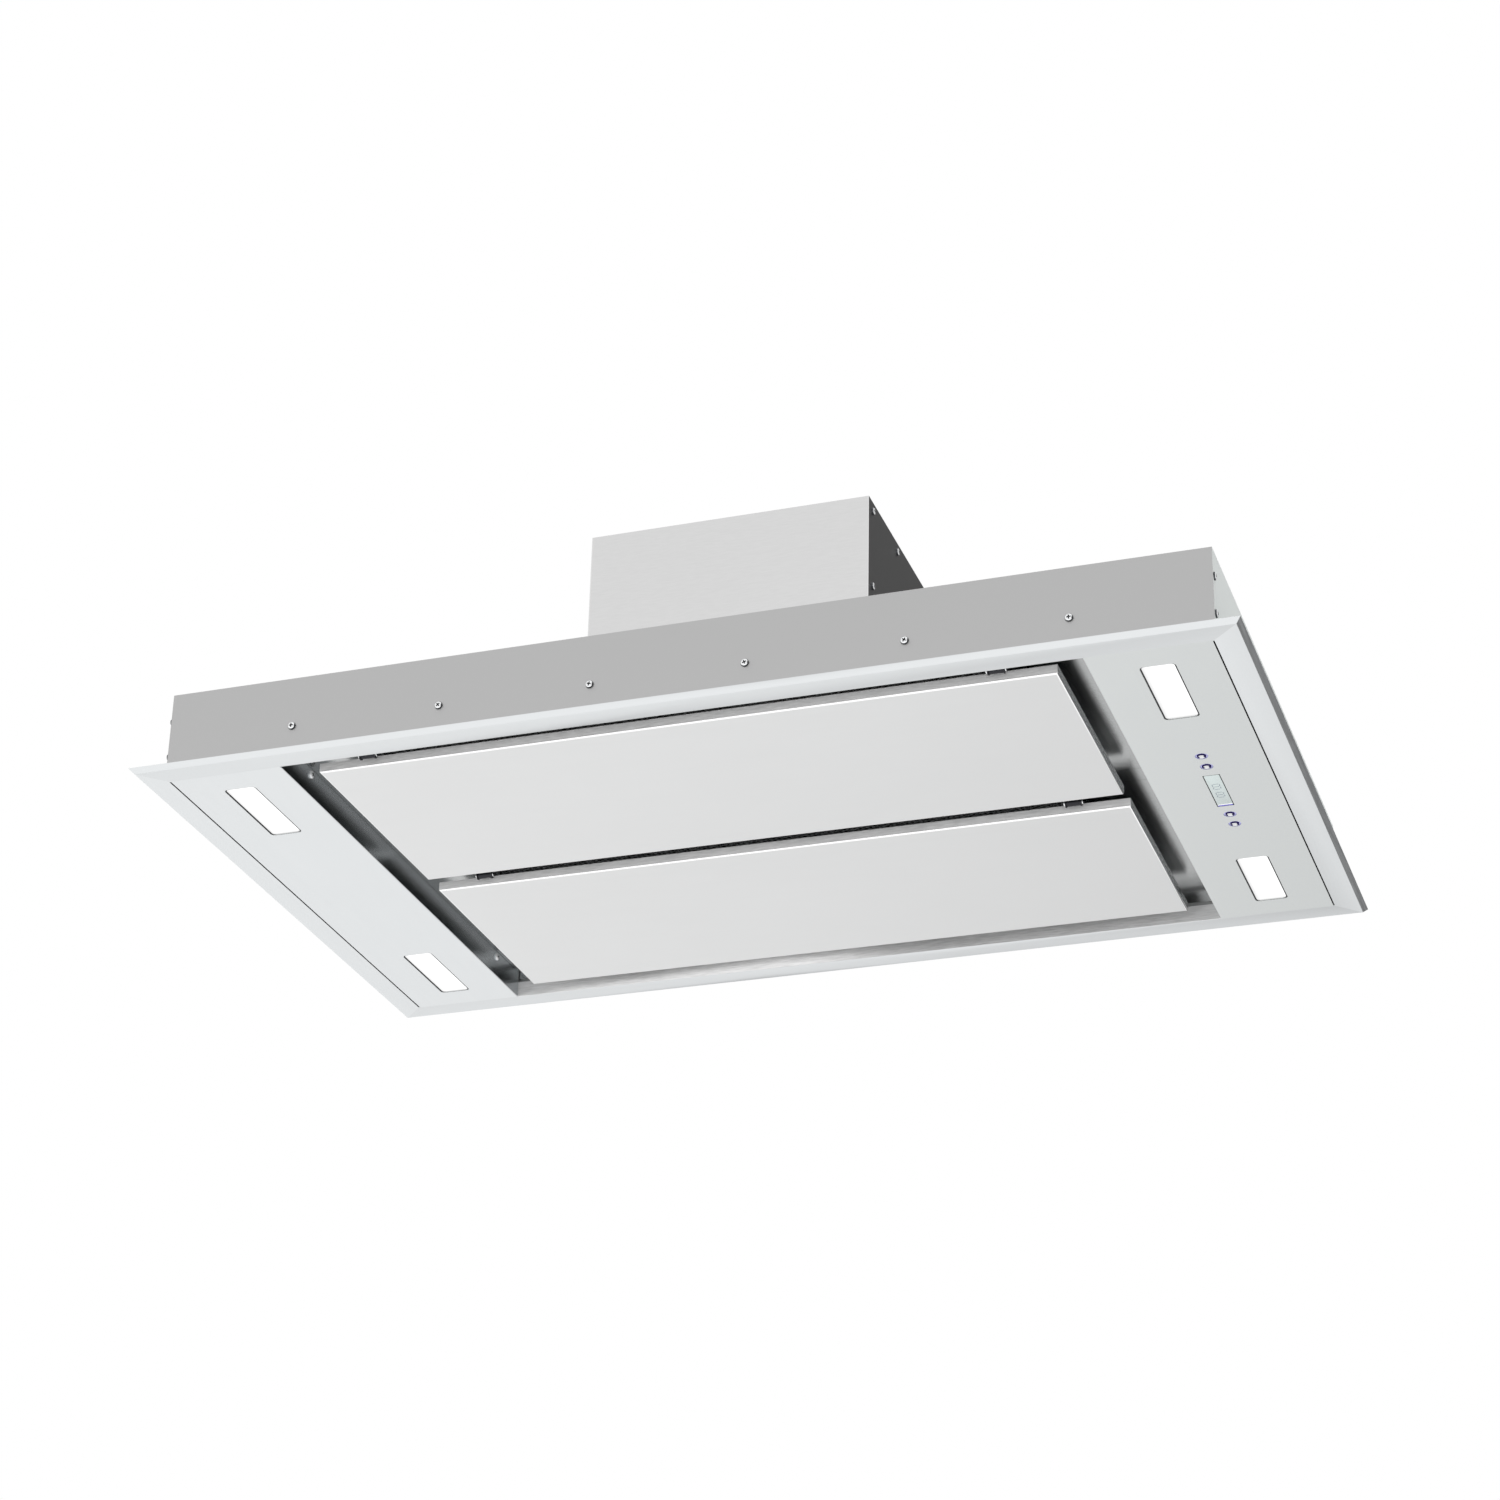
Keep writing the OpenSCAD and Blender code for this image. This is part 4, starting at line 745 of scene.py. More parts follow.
class HOOD_OT_suction_panels(bpy.types.Operator):
    """Gives each suction panel its rounded folds"""
    bl_idname = "hood.suction_panels"
    bl_label = "Suction panels"

    def execute(self, context):
        sizes = context.scene.hood_sizes
        for side in ("front", "back"):
            node = side + "_suction_panel"
            low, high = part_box(node)

            def outside(vert, low=low, high=high):
                x, y = vert.co.xy
                return same(x, low.x) or same(x, high.x) or same(y, low.y) or same(y, high.y)

            def outer_fold(edge, z=low.z):
                return all(outside(vert) for vert in edge.verts) and on_bottom(edge, z)

            def on_bend(face, least, low=low):
                near_face = face.center.z < low.z + sizes.panel_bend
                return near_face and least < -face.normal.z < FLAT

            piece = bent(node, node + "_sheet", sizes.panel_bend, sizes.sheet_edge, outer_fold)
            fit(piece, side + "_panel", "brushed_stainless", "panel", node)
            # Near and far folds take painted light, the end folds painted shade
            refinish(piece, "near fold", lambda face: abs(face.normal.y) > 0.9)
            refinish(piece, "end fold", lambda face: abs(face.normal.x) > 0.9)
            # The bend takes the brighter copy of the panel steel, as painted highlight
            refinish(piece, "bend", lambda face: on_bend(face, 0.15))
            # The lowest strip of the bend takes the painted highlight line
            refinish(piece, "bend, painted highlight", lambda face: on_bend(face, 0.97))
        return {"FINISHED"}


class HOOD_OT_casing(bpy.types.Operator):
    """Rounds the casing's sheets, and finishes its walls, rails, bulkheads and hanger plates"""
    bl_idname = "hood.casing"
    bl_label = "Casing"

    def execute(self, context):
        sizes = context.scene.hood_sizes
        finishes = {"casing": "wall", "end_frames": "wall", "end_walls": "end wall"}
        for node, finish in finishes.items():
            piece = edged(node, "_sheet", sizes.sheet_edge, ROOT, "brushed_stainless", finish)
            # The end walls' faces at the corners take the long walls' darker steel, as painted
            # shade
            if node == "end_walls":
                refinish(piece, "wall", lambda face: abs(face.normal.y) > 0.7)
        # The rails inside the slots take the dark steel of painted shade
        for node in ("front_rail", "back_rail", "centre_rail"):
            finish_part(node, "plate")
        for node in ("hanger_plates", "bulkheads"):
            finish_part(node, "zinc")
        return {"FINISHED"}


class HOOD_OT_motor_housing(bpy.types.Operator):
    """Rounds the motor housing's shell and side plates"""
    bl_idname = "hood.motor_housing"
    bl_label = "Motor housing"

    def execute(self, context):
        sizes = context.scene.hood_sizes
        finishes = {"motor_shell": "housing", "motor_left_side": "housing side",
                    "motor_right_side": "housing side"}
        for node, finish in finishes.items():
            edged(node, "_sheet", sizes.sheet_edge, ROOT, "brushed_stainless", finish)
        return {"FINISHED"}


# Screws

SCREW_HEAD_R = 3.7 * MM
SCREW_HEAD_H = 2.2 * MM
SCREW_SHANK_R = 1.9 * MM
SCREW_SHANK_L = 3.6 * MM
# Share of the head's radius inside which the recess gets painted shade
RECESS_SHADE_SHARE = 0.62
SCREW_STEP_DEGREES = 37


def pan_screw():
    """A pan-head screw on the origin, head up, with a tapered cross recess."""
    steps = [
        (SCREW_SHANK_R * 0.75, -SCREW_SHANK_L), (SCREW_SHANK_R, -SCREW_SHANK_L * 0.9),
        (SCREW_SHANK_R, 0), (SCREW_HEAD_R * 0.97, 0), (SCREW_HEAD_R, SCREW_HEAD_H * 0.12),
        (SCREW_HEAD_R * 0.98, SCREW_HEAD_H * 0.42), (SCREW_HEAD_R * 0.88, SCREW_HEAD_H * 0.72),
        (SCREW_HEAD_R * 0.68, SCREW_HEAD_H * 0.92), (SCREW_HEAD_R * 0.4, SCREW_HEAD_H),
        (SCREW_HEAD_R * 0.05, SCREW_HEAD_H * 1.03)]
    screw = turned("screw", steps, sides=28)
    close_ends(screw)
    arm, half = SCREW_HEAD_R * 0.60, SCREW_HEAD_R * 0.17
    deep = SCREW_HEAD_H * 0.25
    for turn in (0, 90):
        cutter = block("cutter", (-arm, -half, deep), (arm, half, SCREW_HEAD_H * 1.3))
        select_faces(cutter, lambda face: face.normal.z < -0.9)
        bpy.ops.transform.resize(value=(0.55, 0.7, 1))
        leave_edit()
        place(cutter, (0, 0, 0), Matrix.Rotation(math.radians(turn), 3, "Z"))
        apply_modifier(screw, "BOOLEAN", operation="DIFFERENCE", object=cutter, solver="EXACT")
        bpy.data.objects.remove(cutter)
    return settle(screw, 40)


def painted_shade_faces(face):
    """Faces of the screw model that get painted shade: its recess, and its rim where it turns down
    to its seat.
    """
    off = face.center.xy.length
    recess = off < SCREW_HEAD_R * RECESS_SHADE_SHARE and face.center.z < SCREW_HEAD_H * 0.9
    return recess or (off > SCREW_HEAD_R * 0.74 and face.normal.z < 0.75)


def screw_seat(low, high, corners):
    """Centre of the seat under a packed screw's head, and the way its head points."""
    size = high - low
    axis = min(range(3), key=lambda i: size[i])
    centre = (low + high) / 2
    across = [i for i in range(3) if i != axis]
    wide = [corner for corner in corners
            if math.dist([corner[i] for i in across],
                         [centre[i] for i in across]) > SCREW_HEAD_R * 0.9]
    upward = sum(corner[axis] for corner in wide) / len(wide) > centre[axis]
    way = Vector((0, 0, 0))
    way[axis] = 1 if upward else -1
    seat = centre.copy()
    seat[axis] = high[axis] - SCREW_HEAD_H if upward else low[axis] + SCREW_HEAD_H
    return seat, way


class HOOD_OT_screws(bpy.types.Operator):
    """Puts a fine pan-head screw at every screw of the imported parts, driven to varied angles"""
    bl_idname = "hood.screws"
    bl_label = "Screws"

    def execute(self, context):
        model = pan_screw()
        shaded = [painted_shade_faces(face) for face in model.data.polygons]
        recess = [dark and face.center.xy.length < SCREW_HEAD_R * RECESS_SHADE_SHARE
                  for dark, face in zip(shaded, model.data.polygons)]
        end_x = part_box("casing")[1].x - SCREW_HEAD_H
        for node in ("casing_screws", "well_screws", "housing_screws"):
            copies = []
            for number, (low, high, corners) in enumerate(loose_boxes(node)):
                seat, way = screw_seat(low, high, corners)
                upright_turn = way.to_track_quat("Z", "Y").to_matrix()
                driven = math.radians(SCREW_STEP_DEGREES * number % 90)
                turn = upright_turn @ Matrix.Rotation(driven, 3, "Z")
                copies.append(place(duplicate(model, "screw_copy"), seat, turn))
            piece = join(copies, node + "_fine")
            bpy.ops.object.shade_smooth_by_angle(angle=math.radians(40))
            fit(piece, ROOT, "screw_steel", "screw", node)

            # Painted shade: the well screws darken their recess only, the others their recess and
            # head rim
            dark = recess if node == "well_screws" else shaded
            # Heads other than the casing's wall screws take the pale steel, as painted highlight
            refinish(piece, "screw, painted highlight", lambda face, node=node: (
                node != "casing_screws" or abs(face.center.x) > end_x))
            refinish(piece, "screw, painted shade",
                     lambda face, dark=dark: dark[face.index % len(dark)])
        bpy.data.objects.remove(model)
        return {"FINISHED"}


# Hinges and catches

HINGE_EDGE = 0.18 * MM


class HOOD_OT_hinges(bpy.types.Operator):
    """Rounds the hinges and magnetic catches, and finishes the panels' backing plates"""
    bl_idname = "hood.hinges"
    bl_label = "Hinges and catches"

    def execute(self, context):
        # Hinge brackets, leaves and catch brackets take the near-black steel of painted shade
        rows = (("hinge_brackets", ROOT, "screw_steel", "blued"),
                ("hinge_pins", ROOT, "screw_steel", "screw"),
                ("front_hinge_leaves", "front_panel", "galvanised_sheet", "blued"),
                ("back_hinge_leaves", "back_panel", "galvanised_sheet", "blued"),
                ("catch_brackets", ROOT, "screw_steel", "blued"),
                ("catch_magnets", ROOT, "magnet_ferrite", "ferrite"))
        for node, body, slot, finish in rows:
            edged(node, "_fine", HINGE_EDGE, body, slot, finish)
        for side in ("front", "back"):
            finish_part(side + "_panel_backing", "zinc")
        return {"FINISHED"}


# Grease filters

MESH_STRAND = 0.9 * MM
MESH_SHEET = 0.8 * MM
MESH_RISE = 0.3 * MM
MESH_MERGE = 0.02 * MM
DARK_BLOCK_RISE = 3 * MM
DARK_BLOCK_EDGE = 0.8 * MM
FRAME_EDGE = 0.2 * MM
LATCH_EDGE = 0.3 * MM
LATCH_CLEAR_X = 33 * MM
LATCH_CLEAR_Y = 32 * MM


def stretched_mesh(name, low, high, pitch_x, pitch_y, keep):
    """A sheet of diamond openings between two corners, with a part left out by keep."""
    clear_selection()
    bpy.ops.mesh.primitive_circle_add(vertices=4, radius=0.5, fill_type="NGON")
    piece = bpy.context.object
    piece.name = name
    piece.scale = (pitch_x, pitch_y, 1)
    bpy.ops.object.transform_apply(scale=True)
    edit_whole(piece)
    bpy.ops.mesh.inset(thickness=MESH_STRAND / 2, depth=0)
    bpy.ops.mesh.delete(type="FACE")
    leave_edit()
    columns = int((high.x - low.x) / pitch_x) - 1
    rows = int((high.y - low.y) / pitch_y) - 1
    for count, step in ((columns, (pitch_x, 0, 0)), (rows, (0, pitch_y, 0))):
        apply_modifier(piece, "ARRAY", count=count, use_relative_offset=False,
                       use_constant_offset=True, constant_offset_displace=step)
    other = duplicate(piece, "staggered")
    place(other, (pitch_x / 2, pitch_y / 2, 0))
    piece = join([piece, other], name)
    start = Vector(((low.x + high.x - columns * pitch_x) / 2 + pitch_x / 4,
                    (low.y + high.y - rows * pitch_y) / 2 + pitch_y / 4, low.z))
    place(piece, start)
    select_faces(piece, lambda face: not keep(face.calc_center_median()))
    bpy.ops.mesh.delete(type="FACE")
    bpy.ops.mesh.select_all(action="SELECT")
    bpy.ops.mesh.remove_doubles(threshold=MESH_MERGE)
    leave_edit()
    apply_modifier(piece, "SOLIDIFY", thickness=MESH_SHEET, offset=1.0)
    return settle(piece, 30)


class HOOD_OT_filters(bpy.types.Operator):
    """Builds each grease filter's stretched mesh and a near-black block behind it, and rounds its
    frame and latch
    """
    bl_idname = "hood.filters"
    bl_label = "Grease filters"

    def execute(self, context):
        sizes = context.scene.hood_sizes
        for side, sign in (("front", -1), ("back", 1)):
            node = side + "_filter_mesh"
            low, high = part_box(node)
            inner_y = min(abs(low.y), abs(high.y))

            def keep(at, inner_y=inner_y):
                return abs(at.x) > LATCH_CLEAR_X or abs(at.y) > inner_y + LATCH_CLEAR_Y

            mesh_low = low + Vector((0, 0, MESH_RISE))
            face = stretched_mesh(side + "_filter_face", mesh_low, high,
                                  sizes.mesh_long, sizes.mesh_short, keep)
            fit(face, ROOT, "filter_aluminium", "filter mesh", node)
            # A near-black block behind the mesh, clear of the latch
            dark_low = Vector((low.x, low.y, low.z + DARK_BLOCK_RISE))
            dark_high = high.copy()
            if sign < 0:
                dark_high.y = -inner_y - LATCH_CLEAR_Y
            else:
                dark_low.y = inner_y + LATCH_CLEAR_Y
            dark_block = block(side + "_dark_behind_mesh", dark_low, dark_high)
            bevel_edges(dark_block, DARK_BLOCK_EDGE, 2)
            fit(settle(dark_block), ROOT, "filter_aluminium", "dark behind mesh")
            edged(side + "_filter_frame", "_fine", FRAME_EDGE, ROOT, "filter_aluminium",
                  "filter frame")
            edged(side + "_filter_latch", "_fine", LATCH_EDGE, side + "_latch",
                  "black_plastic", "black")
        return {"FINISHED"}


# Lamps

# Ring of painted shade round each lens: its width, its gap to the lens, and how far it is sunk
SHADE_RING_W = 0.9 * MM
SHADE_RING_GAP = 0.05 * MM
SHADE_RING_SUNK = 0.4 * MM
LENS_SUNK = 0.5 * MM
LENS_CORNER = 4 * MM
LENS_LIP = 2 * MM
LAMP_POWER = 0.9


def lit_lens(name, low, high, light):
    """Opal lens lit from behind: even white, a little weaker along its edges."""
    material = glowing(name, (0.25, 0.25, 0.25), light, LAMP_POWER)
    tree = material.node_tree
    half = ((high.x - low.x) / 2, (high.y - low.y) / 2, 1)
    centred = add_node(tree, "ShaderNodeMapping", "Vector", {
        "Location": (low + high) / 2, "Scale": half,
        "Vector": add_node(tree, "ShaderNodeTexCoord", "Object", {})}, vector_type="TEXTURE")
    split = tree.nodes.new("ShaderNodeSeparateXYZ")
    plug(tree, split, {"Vector": centred})
    fade_x = spread(tree, split.outputs["X"], 0.45, LAMP_POWER, -1.0, -0.5)
    fade_y = spread(tree, split.outputs["Y"], LAMP_POWER, 0.40, 0.86, 1.0)
    return surface(material, {
        "Emission Strength": add_node(tree, "ShaderNodeMath", "Value", {
            0: fade_x, 1: fade_y}, operation="MINIMUM")})


class HOOD_OT_lamps(bpy.types.Operator):
    """Models each lamp's lens with a black ring of painted shade round it, and finishes what is
    behind it
    """
    bl_idname = "hood.lamps"
    bl_label = "Lamps"

    def execute(self, context):
        sizes = context.scene.hood_sizes
        light = context.scene.hood_colours.lamp_light
        sunk = Vector((0, 0, LENS_SUNK))
        shade_ring_sunk = Vector((0, 0, SHADE_RING_SUNK))
        inset = Vector((SHADE_RING_W, SHADE_RING_W, 0))
        for node in ("left_front_lens", "left_back_lens", "right_front_lens", "right_back_lens"):
            low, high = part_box(node)
            window_low = Vector((low.x + LENS_LIP, low.y + LENS_LIP, FACE_Z))
            window_high = Vector((high.x - LENS_LIP, high.y - LENS_LIP, high.z))
            lens = rounded_slab(node + "_opal", window_low + inset + sunk,
                                window_high - inset, LENS_CORNER - SHADE_RING_W)
            bevel_edges(lens, sizes.lens_edge, 3,
                        lambda edge: on_bottom(edge, FACE_Z + LENS_SUNK))
            FINISHES[node] = lit_lens(node + " glow", window_low, window_high, light)
            fit(settle(lens), ROOT, "lamp_lens", node, node)
            # The black ring round each lens is painted shade, standing for the shadow in the gap;
            # its short ends are left pale
            shade_ring = ring_slab(node + "_shade_ring", window_low + shade_ring_sunk,
                               window_high, LENS_CORNER, SHADE_RING_W - SHADE_RING_GAP)
            fit(settle(shade_ring), ROOT, "black_plastic", "rubber")
            refinish(shade_ring, "shade ring end, left pale", lambda face: (
                min(face.center.y - window_low.y, window_high.y - face.center.y) < SHADE_RING_W))
        finish_part("lamp_housings", "zinc")
        finish_part("lamp_boards", "board white")
        finish_part("lamp_driver", "black")
        return {"FINISHED"}


# Controls

BUTTONS = ("power", "slower", "faster", "light")
BUTTON_R = 4.1 * MM
BUTTON_STEM_R = 2 * MM
BUTTON_LIP = 1 * MM
BUTTON_LIP_RISE = 2.7 * MM
RING_INNER = BUTTON_R + 0.06 * MM
RING_OUTER = BUTTON_R + 0.8 * MM
RING_BACK = RING_OUTER + 0.8 * MM
RING_STEPS = (
    (RING_INNER, FACE_Z + 2.4 * MM), (RING_BACK, FACE_Z + 2.4 * MM),
    (RING_BACK, FACE_Z + 1.05 * MM), (RING_OUTER, FACE_Z + 1.0 * MM),
    (RING_OUTER - 0.05 * MM, FACE_Z + 0.55 * MM), (RING_INNER + 0.05 * MM, FACE_Z + 0.55 * MM))


def button_steps(low, high):
    """Outline of a push button from its stem down to its dished face, by radius and height."""
    lip_r = BUTTON_R + BUTTON_LIP
    lip_z = FACE_Z + BUTTON_LIP_RISE
    return [
        (BUTTON_STEM_R, high), (BUTTON_STEM_R, lip_z + BUTTON_LIP), (lip_r, lip_z + BUTTON_LIP),
        (lip_r, lip_z), (BUTTON_R, lip_z), (BUTTON_R, low + 0.85 * MM),
        (BUTTON_R * 0.98, low + 0.55 * MM), (BUTTON_R * 0.91, low + 0.22 * MM),
        (BUTTON_R * 0.80, low + 0.02 * MM), (BUTTON_R * 0.70, low),
        (BUTTON_R * 0.45, low + 0.05 * MM), (BUTTON_R * 0.20, low + 0.08 * MM),
        (BUTTON_R * 0.04, low + 0.09 * MM)]


class HOOD_OT_buttons(bpy.types.Operator):
    """Turns the push buttons and the lit rings round them, and finishes what is behind"""
    bl_idname = "hood.buttons"
    bl_label = "Push buttons"

    def execute(self, context):
        ring_copies = []
        for name in BUTTONS:
            node = name + "_button"
            low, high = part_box(node)
            centre = (low + high) / 2
            piece = turned(node + "_turned", button_steps(low.z, high.z), sides=40)
            close_ends(piece)
            place(piece, (centre.x, centre.y, 0))
            fit(settle(piece), name + "_push", "button_steel", "button", node)

            # Faces near the rim, toward the left and right, or turned away take a painted dark
            # reflection
            def painted_dark_sides(face, centre=centre):
                off = (face.center - centre).xy
                turned_away = abs(face.normal.z) < 0.7
                return off.length > BUTTON_R * 0.77 or abs(off.x) > BUTTON_R * 0.5 or turned_away

            refinish(piece, "button, painted dark reflection", painted_dark_sides)
            ring = turned("ring", RING_STEPS, sides=40, closed=True)
            ring_copies.append(place(ring, (centre.x, centre.y, 0)))
        rings = settle(join(ring_copies, "button_ring_lights"))
        fit(rings, ROOT, "ring_light", "ring light", "button_rings")
        finish_part("control_housing", "black")
        finish_part("control_board", "board green")
        return {"FINISHED"}


DISPLAY_LIP = 2 * MM
DISPLAY_GAP = 0.45 * MM
DISPLAY_CORNER = 1.0 * MM
DISPLAY_EDGE = 0.3 * MM
DISPLAY_PROUD = 0.03 * MM
RIM_SUNK = 0.1 * MM
RIM_CORNER = 1.2 * MM
DIGIT_PLACES = (-8.5 * MM, 8.5 * MM)
DIGIT_HALF_W = 3.2 * MM
DIGIT_HALF_H = 5.2 * MM
STROKE_W = 0.9 * MM
STROKE_DEEP = 0.2 * MM
BAR_IN = 0.1 * MM
BAR_DEEP = 0.3 * MM
BAR_CORNER = 0.7 * MM

# Strokes of a numeral eight: x and y in shares of its half width and half height, and
# whether the stroke runs along x
DIGIT_STROKES = (
    (0, 1, True), (0, 0, True), (0, -1, True),
    (-1, 0.5, False), (-1, -0.5, False), (1, 0.5, False), (1, -0.5, False))


class HOOD_OT_display(bpy.types.Operator):
    """Models the display window with its unlit numerals and its lit bar"""
    bl_idname = "hood.display"
    bl_label = "Display"

    def execute(self, context):
        low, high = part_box("display_window")
        gap = DISPLAY_GAP
        border = DISPLAY_LIP + gap
        low = Vector((low.x + border, low.y + border, low.z))
        high = Vector((high.x - border, high.y - border, high.z))
        window = rounded_slab("display_glass", low, high, DISPLAY_CORNER)
        bevel_edges(window, DISPLAY_EDGE, 2, lambda edge: on_bottom(edge, low.z))
        fit(settle(window), ROOT, "display_glass", "display", "display_window")
        rim = ring_slab("display_rim", low - Vector((gap, gap, -RIM_SUNK)),
                        high + Vector((gap, gap, 0)), RIM_CORNER, gap * 0.95)
        fit(settle(rim), ROOT, "black_plastic", "rubber")

        centre = (low + high) / 2
        front = low.z - DISPLAY_PROUD
        strokes = []
        for digit_y in DIGIT_PLACES:
            for share_x, share_y, across in DIGIT_STROKES:
                x = centre.x + share_x * DIGIT_HALF_W
                y = centre.y + digit_y + share_y * DIGIT_HALF_H
                half_x = (DIGIT_HALF_W if across else DIGIT_HALF_H / 2) - STROKE_W * 0.7
                half_y = STROKE_W / 2
                if not across:
                    half_x, half_y = half_y, half_x
                stroke = block("stroke", (x - half_x, y - half_y, front),
                               (x + half_x, y + half_y, low.z + STROKE_DEEP))
                bevel_edges(stroke, STROKE_W * 0.45, 1, upright)
                strokes.append(stroke)
        digits = settle(join(strokes, "display_numerals"))
        fit(digits, ROOT, "display_glass", "digit")

        # The second strip is near-white, a painted highlight line along the bar
        bars = (("display_bar", 1.8 * MM, 0.0, "bar light"),
                ("display_bar_highlight_line", 3.6 * MM, 2.0 * MM, "display, painted highlight line"))
        for name, near, far, finish in bars:
            bar = rounded_slab(name, (low.x + BAR_IN, high.y - near, front),
                               (high.x - BAR_IN, high.y - far, low.z + BAR_DEEP), BAR_CORNER)
            fit(settle(bar), ROOT, "ring_light", finish)
        return {"FINISHED"}


# Fan, outlet and terminal box

COLLAR_R = 74.5 * MM
COLLAR_EDGE = 0.4 * MM
BEAD_PLACES = (164 * MM, 172 * MM, 180 * MM)
BEAD_HALF = 0.9 * MM
BEAD_SUNK = 0.3 * MM
BEAD_PROUD = 0.35 * MM
SPINDLE_EDGE = 0.2 * MM
FLAP_R = 68 * MM
FLAP_EDGE = 0.25 * MM
RIB_SHARES = (-0.6, -0.2, 0.2, 0.6)
RIB_START = 8 * MM
RIB_SHORT = 4 * MM
RIB_HALF = 0.7 * MM
RIB_BASE = 0.4 * MM
RIB_PROUD = 1.8 * MM
RIB_EDGE = 0.4 * MM
BOX_EDGE = 0.8 * MM
GLAND_ZONE = 19 * MM
LID_OVER = 1.2 * MM
LID_DEEP = 3 * MM
LID_PROUD = 0.6 * MM
LID_CORNER = 3 * MM
LID_EDGE = 0.8 * MM
LID_SCREW_IN = 7 * MM
GLAND_RISE = 20 * MM
NUT_INNER = 5.2 * MM
NUT_OUTER = 13.2 * MM
NUT_RIB = 0.8 * MM


class HOOD_OT_fan(bpy.types.Operator):
    """Finishes the fan, its scroll and the motor"""
    bl_idname = "hood.fan"
    bl_label = "Fan"

    def execute(self, context):
        finishes = {"scroll_housing": "zinc", "scroll_cover": "zinc", "inlet_ring": "zinc",
                    "fan_wheel": "wheel", "fan_blades": "wheel", "fan_shaft": "shaft",
                    "motor": "enamel"}
        for node, finish in finishes.items():
            finish_part(node, finish)
        return {"FINISHED"}


class HOOD_OT_outlet(bpy.types.Operator):
    """Rounds the outlet's collar, spindle and flaps, and adds grip beads and the flaps' ribs"""
    bl_idname = "hood.outlet"
    bl_label = "Outlet"

    def execute(self, context):
        edged("outlet_collar", "_fine", COLLAR_EDGE, ROOT, "black_plastic", "black")
        low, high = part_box("flap_spindle")
        centre = (low + high) / 2
        beads = []
        base, crest = COLLAR_R - BEAD_SUNK, COLLAR_R + BEAD_PROUD
        steps = [(base, -BEAD_HALF), (crest, -BEAD_HALF * 0.4), (crest, BEAD_HALF * 0.4),
                 (base, BEAD_HALF)]
        along_y = Matrix.Rotation(math.radians(-90), 3, "X")
        for y in BEAD_PLACES:
            bead = turned("bead", steps, sides=96, closed=True)
            beads.append(place(bead, (centre.x, y, centre.z), along_y))
        fit(settle(join(beads, "outlet_beads")), ROOT, "black_plastic", "black")
        edged("flap_spindle", "_fine", SPINDLE_EDGE, ROOT, "shaft_steel", "shaft")
        for side, sign in (("left", -1), ("right", 1)):
            node = side + "_flap"
            flap = softened(node, node + "_fine", FLAP_EDGE)
            ribs = []
            for share in RIB_SHARES:
                z = centre.z + share * FLAP_R
                reach = FLAP_R * math.sqrt(1 - share ** 2)
                left, right = sorted((centre.x + sign * RIB_START,
                                      centre.x + sign * (reach - RIB_SHORT)))
                base_y = centre.y + RIB_BASE
                rib = block("rib", (left, base_y, z - RIB_HALF),
                            (right, base_y + RIB_PROUD, z + RIB_HALF))
                bevel_edges(rib, RIB_EDGE, 2)
                ribs.append(rib)
            fit(join([flap, *ribs], node + "_fine"), side + "_damper", "wheel_plastic",
                "grey plastic", node)
        return {"FINISHED"}


class HOOD_OT_terminal_box(bpy.types.Operator):
    """Rounds the terminal box, and adds its lid, lid screws and the gland's ribbed nut"""
    bl_idname = "hood.terminal_box"
    bl_label = "Terminal box"

    def execute(self, context):
        low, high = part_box("terminal_box")
        edged("terminal_box", "_fine", BOX_EDGE, ROOT, "black_plastic", "black")
        end_x = high.x - GLAND_ZONE
        lid_z = high.z + LID_PROUD
        lid = rounded_slab("terminal_lid", (low.x - LID_OVER, low.y - LID_OVER, high.z - LID_DEEP),
                           (end_x + LID_OVER, high.y + LID_OVER, lid_z), LID_CORNER)
        bevel_edges(lid, LID_EDGE, 3, lambda edge: on_bottom(edge, lid_z))
        fit(settle(lid), ROOT, "black_plastic", "black")

        model = pan_screw()
        screws = []
        for x in (low.x + LID_SCREW_IN, end_x - LID_SCREW_IN):
            for y in (low.y + LID_SCREW_IN, high.y - LID_SCREW_IN):
                screws.append(place(duplicate(model, "lid_screw"), (x, y, lid_z)))
        bpy.data.objects.remove(model)
        fit(join(screws, "terminal_lid_screws"), ROOT, "screw_steel", "screw")

        steps = [(NUT_INNER, -0.2 * MM), (NUT_INNER + 3.6 * MM, -0.2 * MM),
                 (NUT_OUTER - 1.4 * MM, -2 * MM), (NUT_OUTER, -5 * MM), (NUT_OUTER, -12 * MM),
                 (NUT_OUTER - 0.8 * MM, -13 * MM), (NUT_INNER, -13 * MM)]
        nut = turned("gland_nut", steps, sides=36, closed=True)

        def rib_face(face):
            middle = face.calc_center_median()
            angle = math.degrees(math.atan2(middle.y, middle.x)) % 30
            return abs(face.normal.z) < 0.2 and middle.xy.length > NUT_OUTER * 0.9 and angle < 10

        select_faces(nut, rib_face)
        bpy.ops.mesh.extrude_faces_move(TRANSFORM_OT_shrink_fatten={"value": NUT_RIB})
        leave_edit()
        place(nut, (high.x, (low.y + high.y) / 2, low.z + GLAND_RISE),
              Matrix.Rotation(math.radians(90), 3, "Y"))
        fit(settle(nut), ROOT, "black_plastic", "grey plastic")
        return {"FINISHED"}


# Stage

# Place in metres and angles in radians, fitted to the corners of the hood
CAMERA_AT = (0.93107, -2.72316, -1.41130)
CAMERA_YAW = -0.33643
CAMERA_PITCH = 0.45951
CAMERA_ROLL = 0.02333
PHOTO_SIDE_PX = 1500
FOCAL_PX = 3440.76
SENSOR_MM = 36.0

FLOOR_Z = -2.4
FLOOR_R = 30
WHITE = (1, 1, 1, 1)

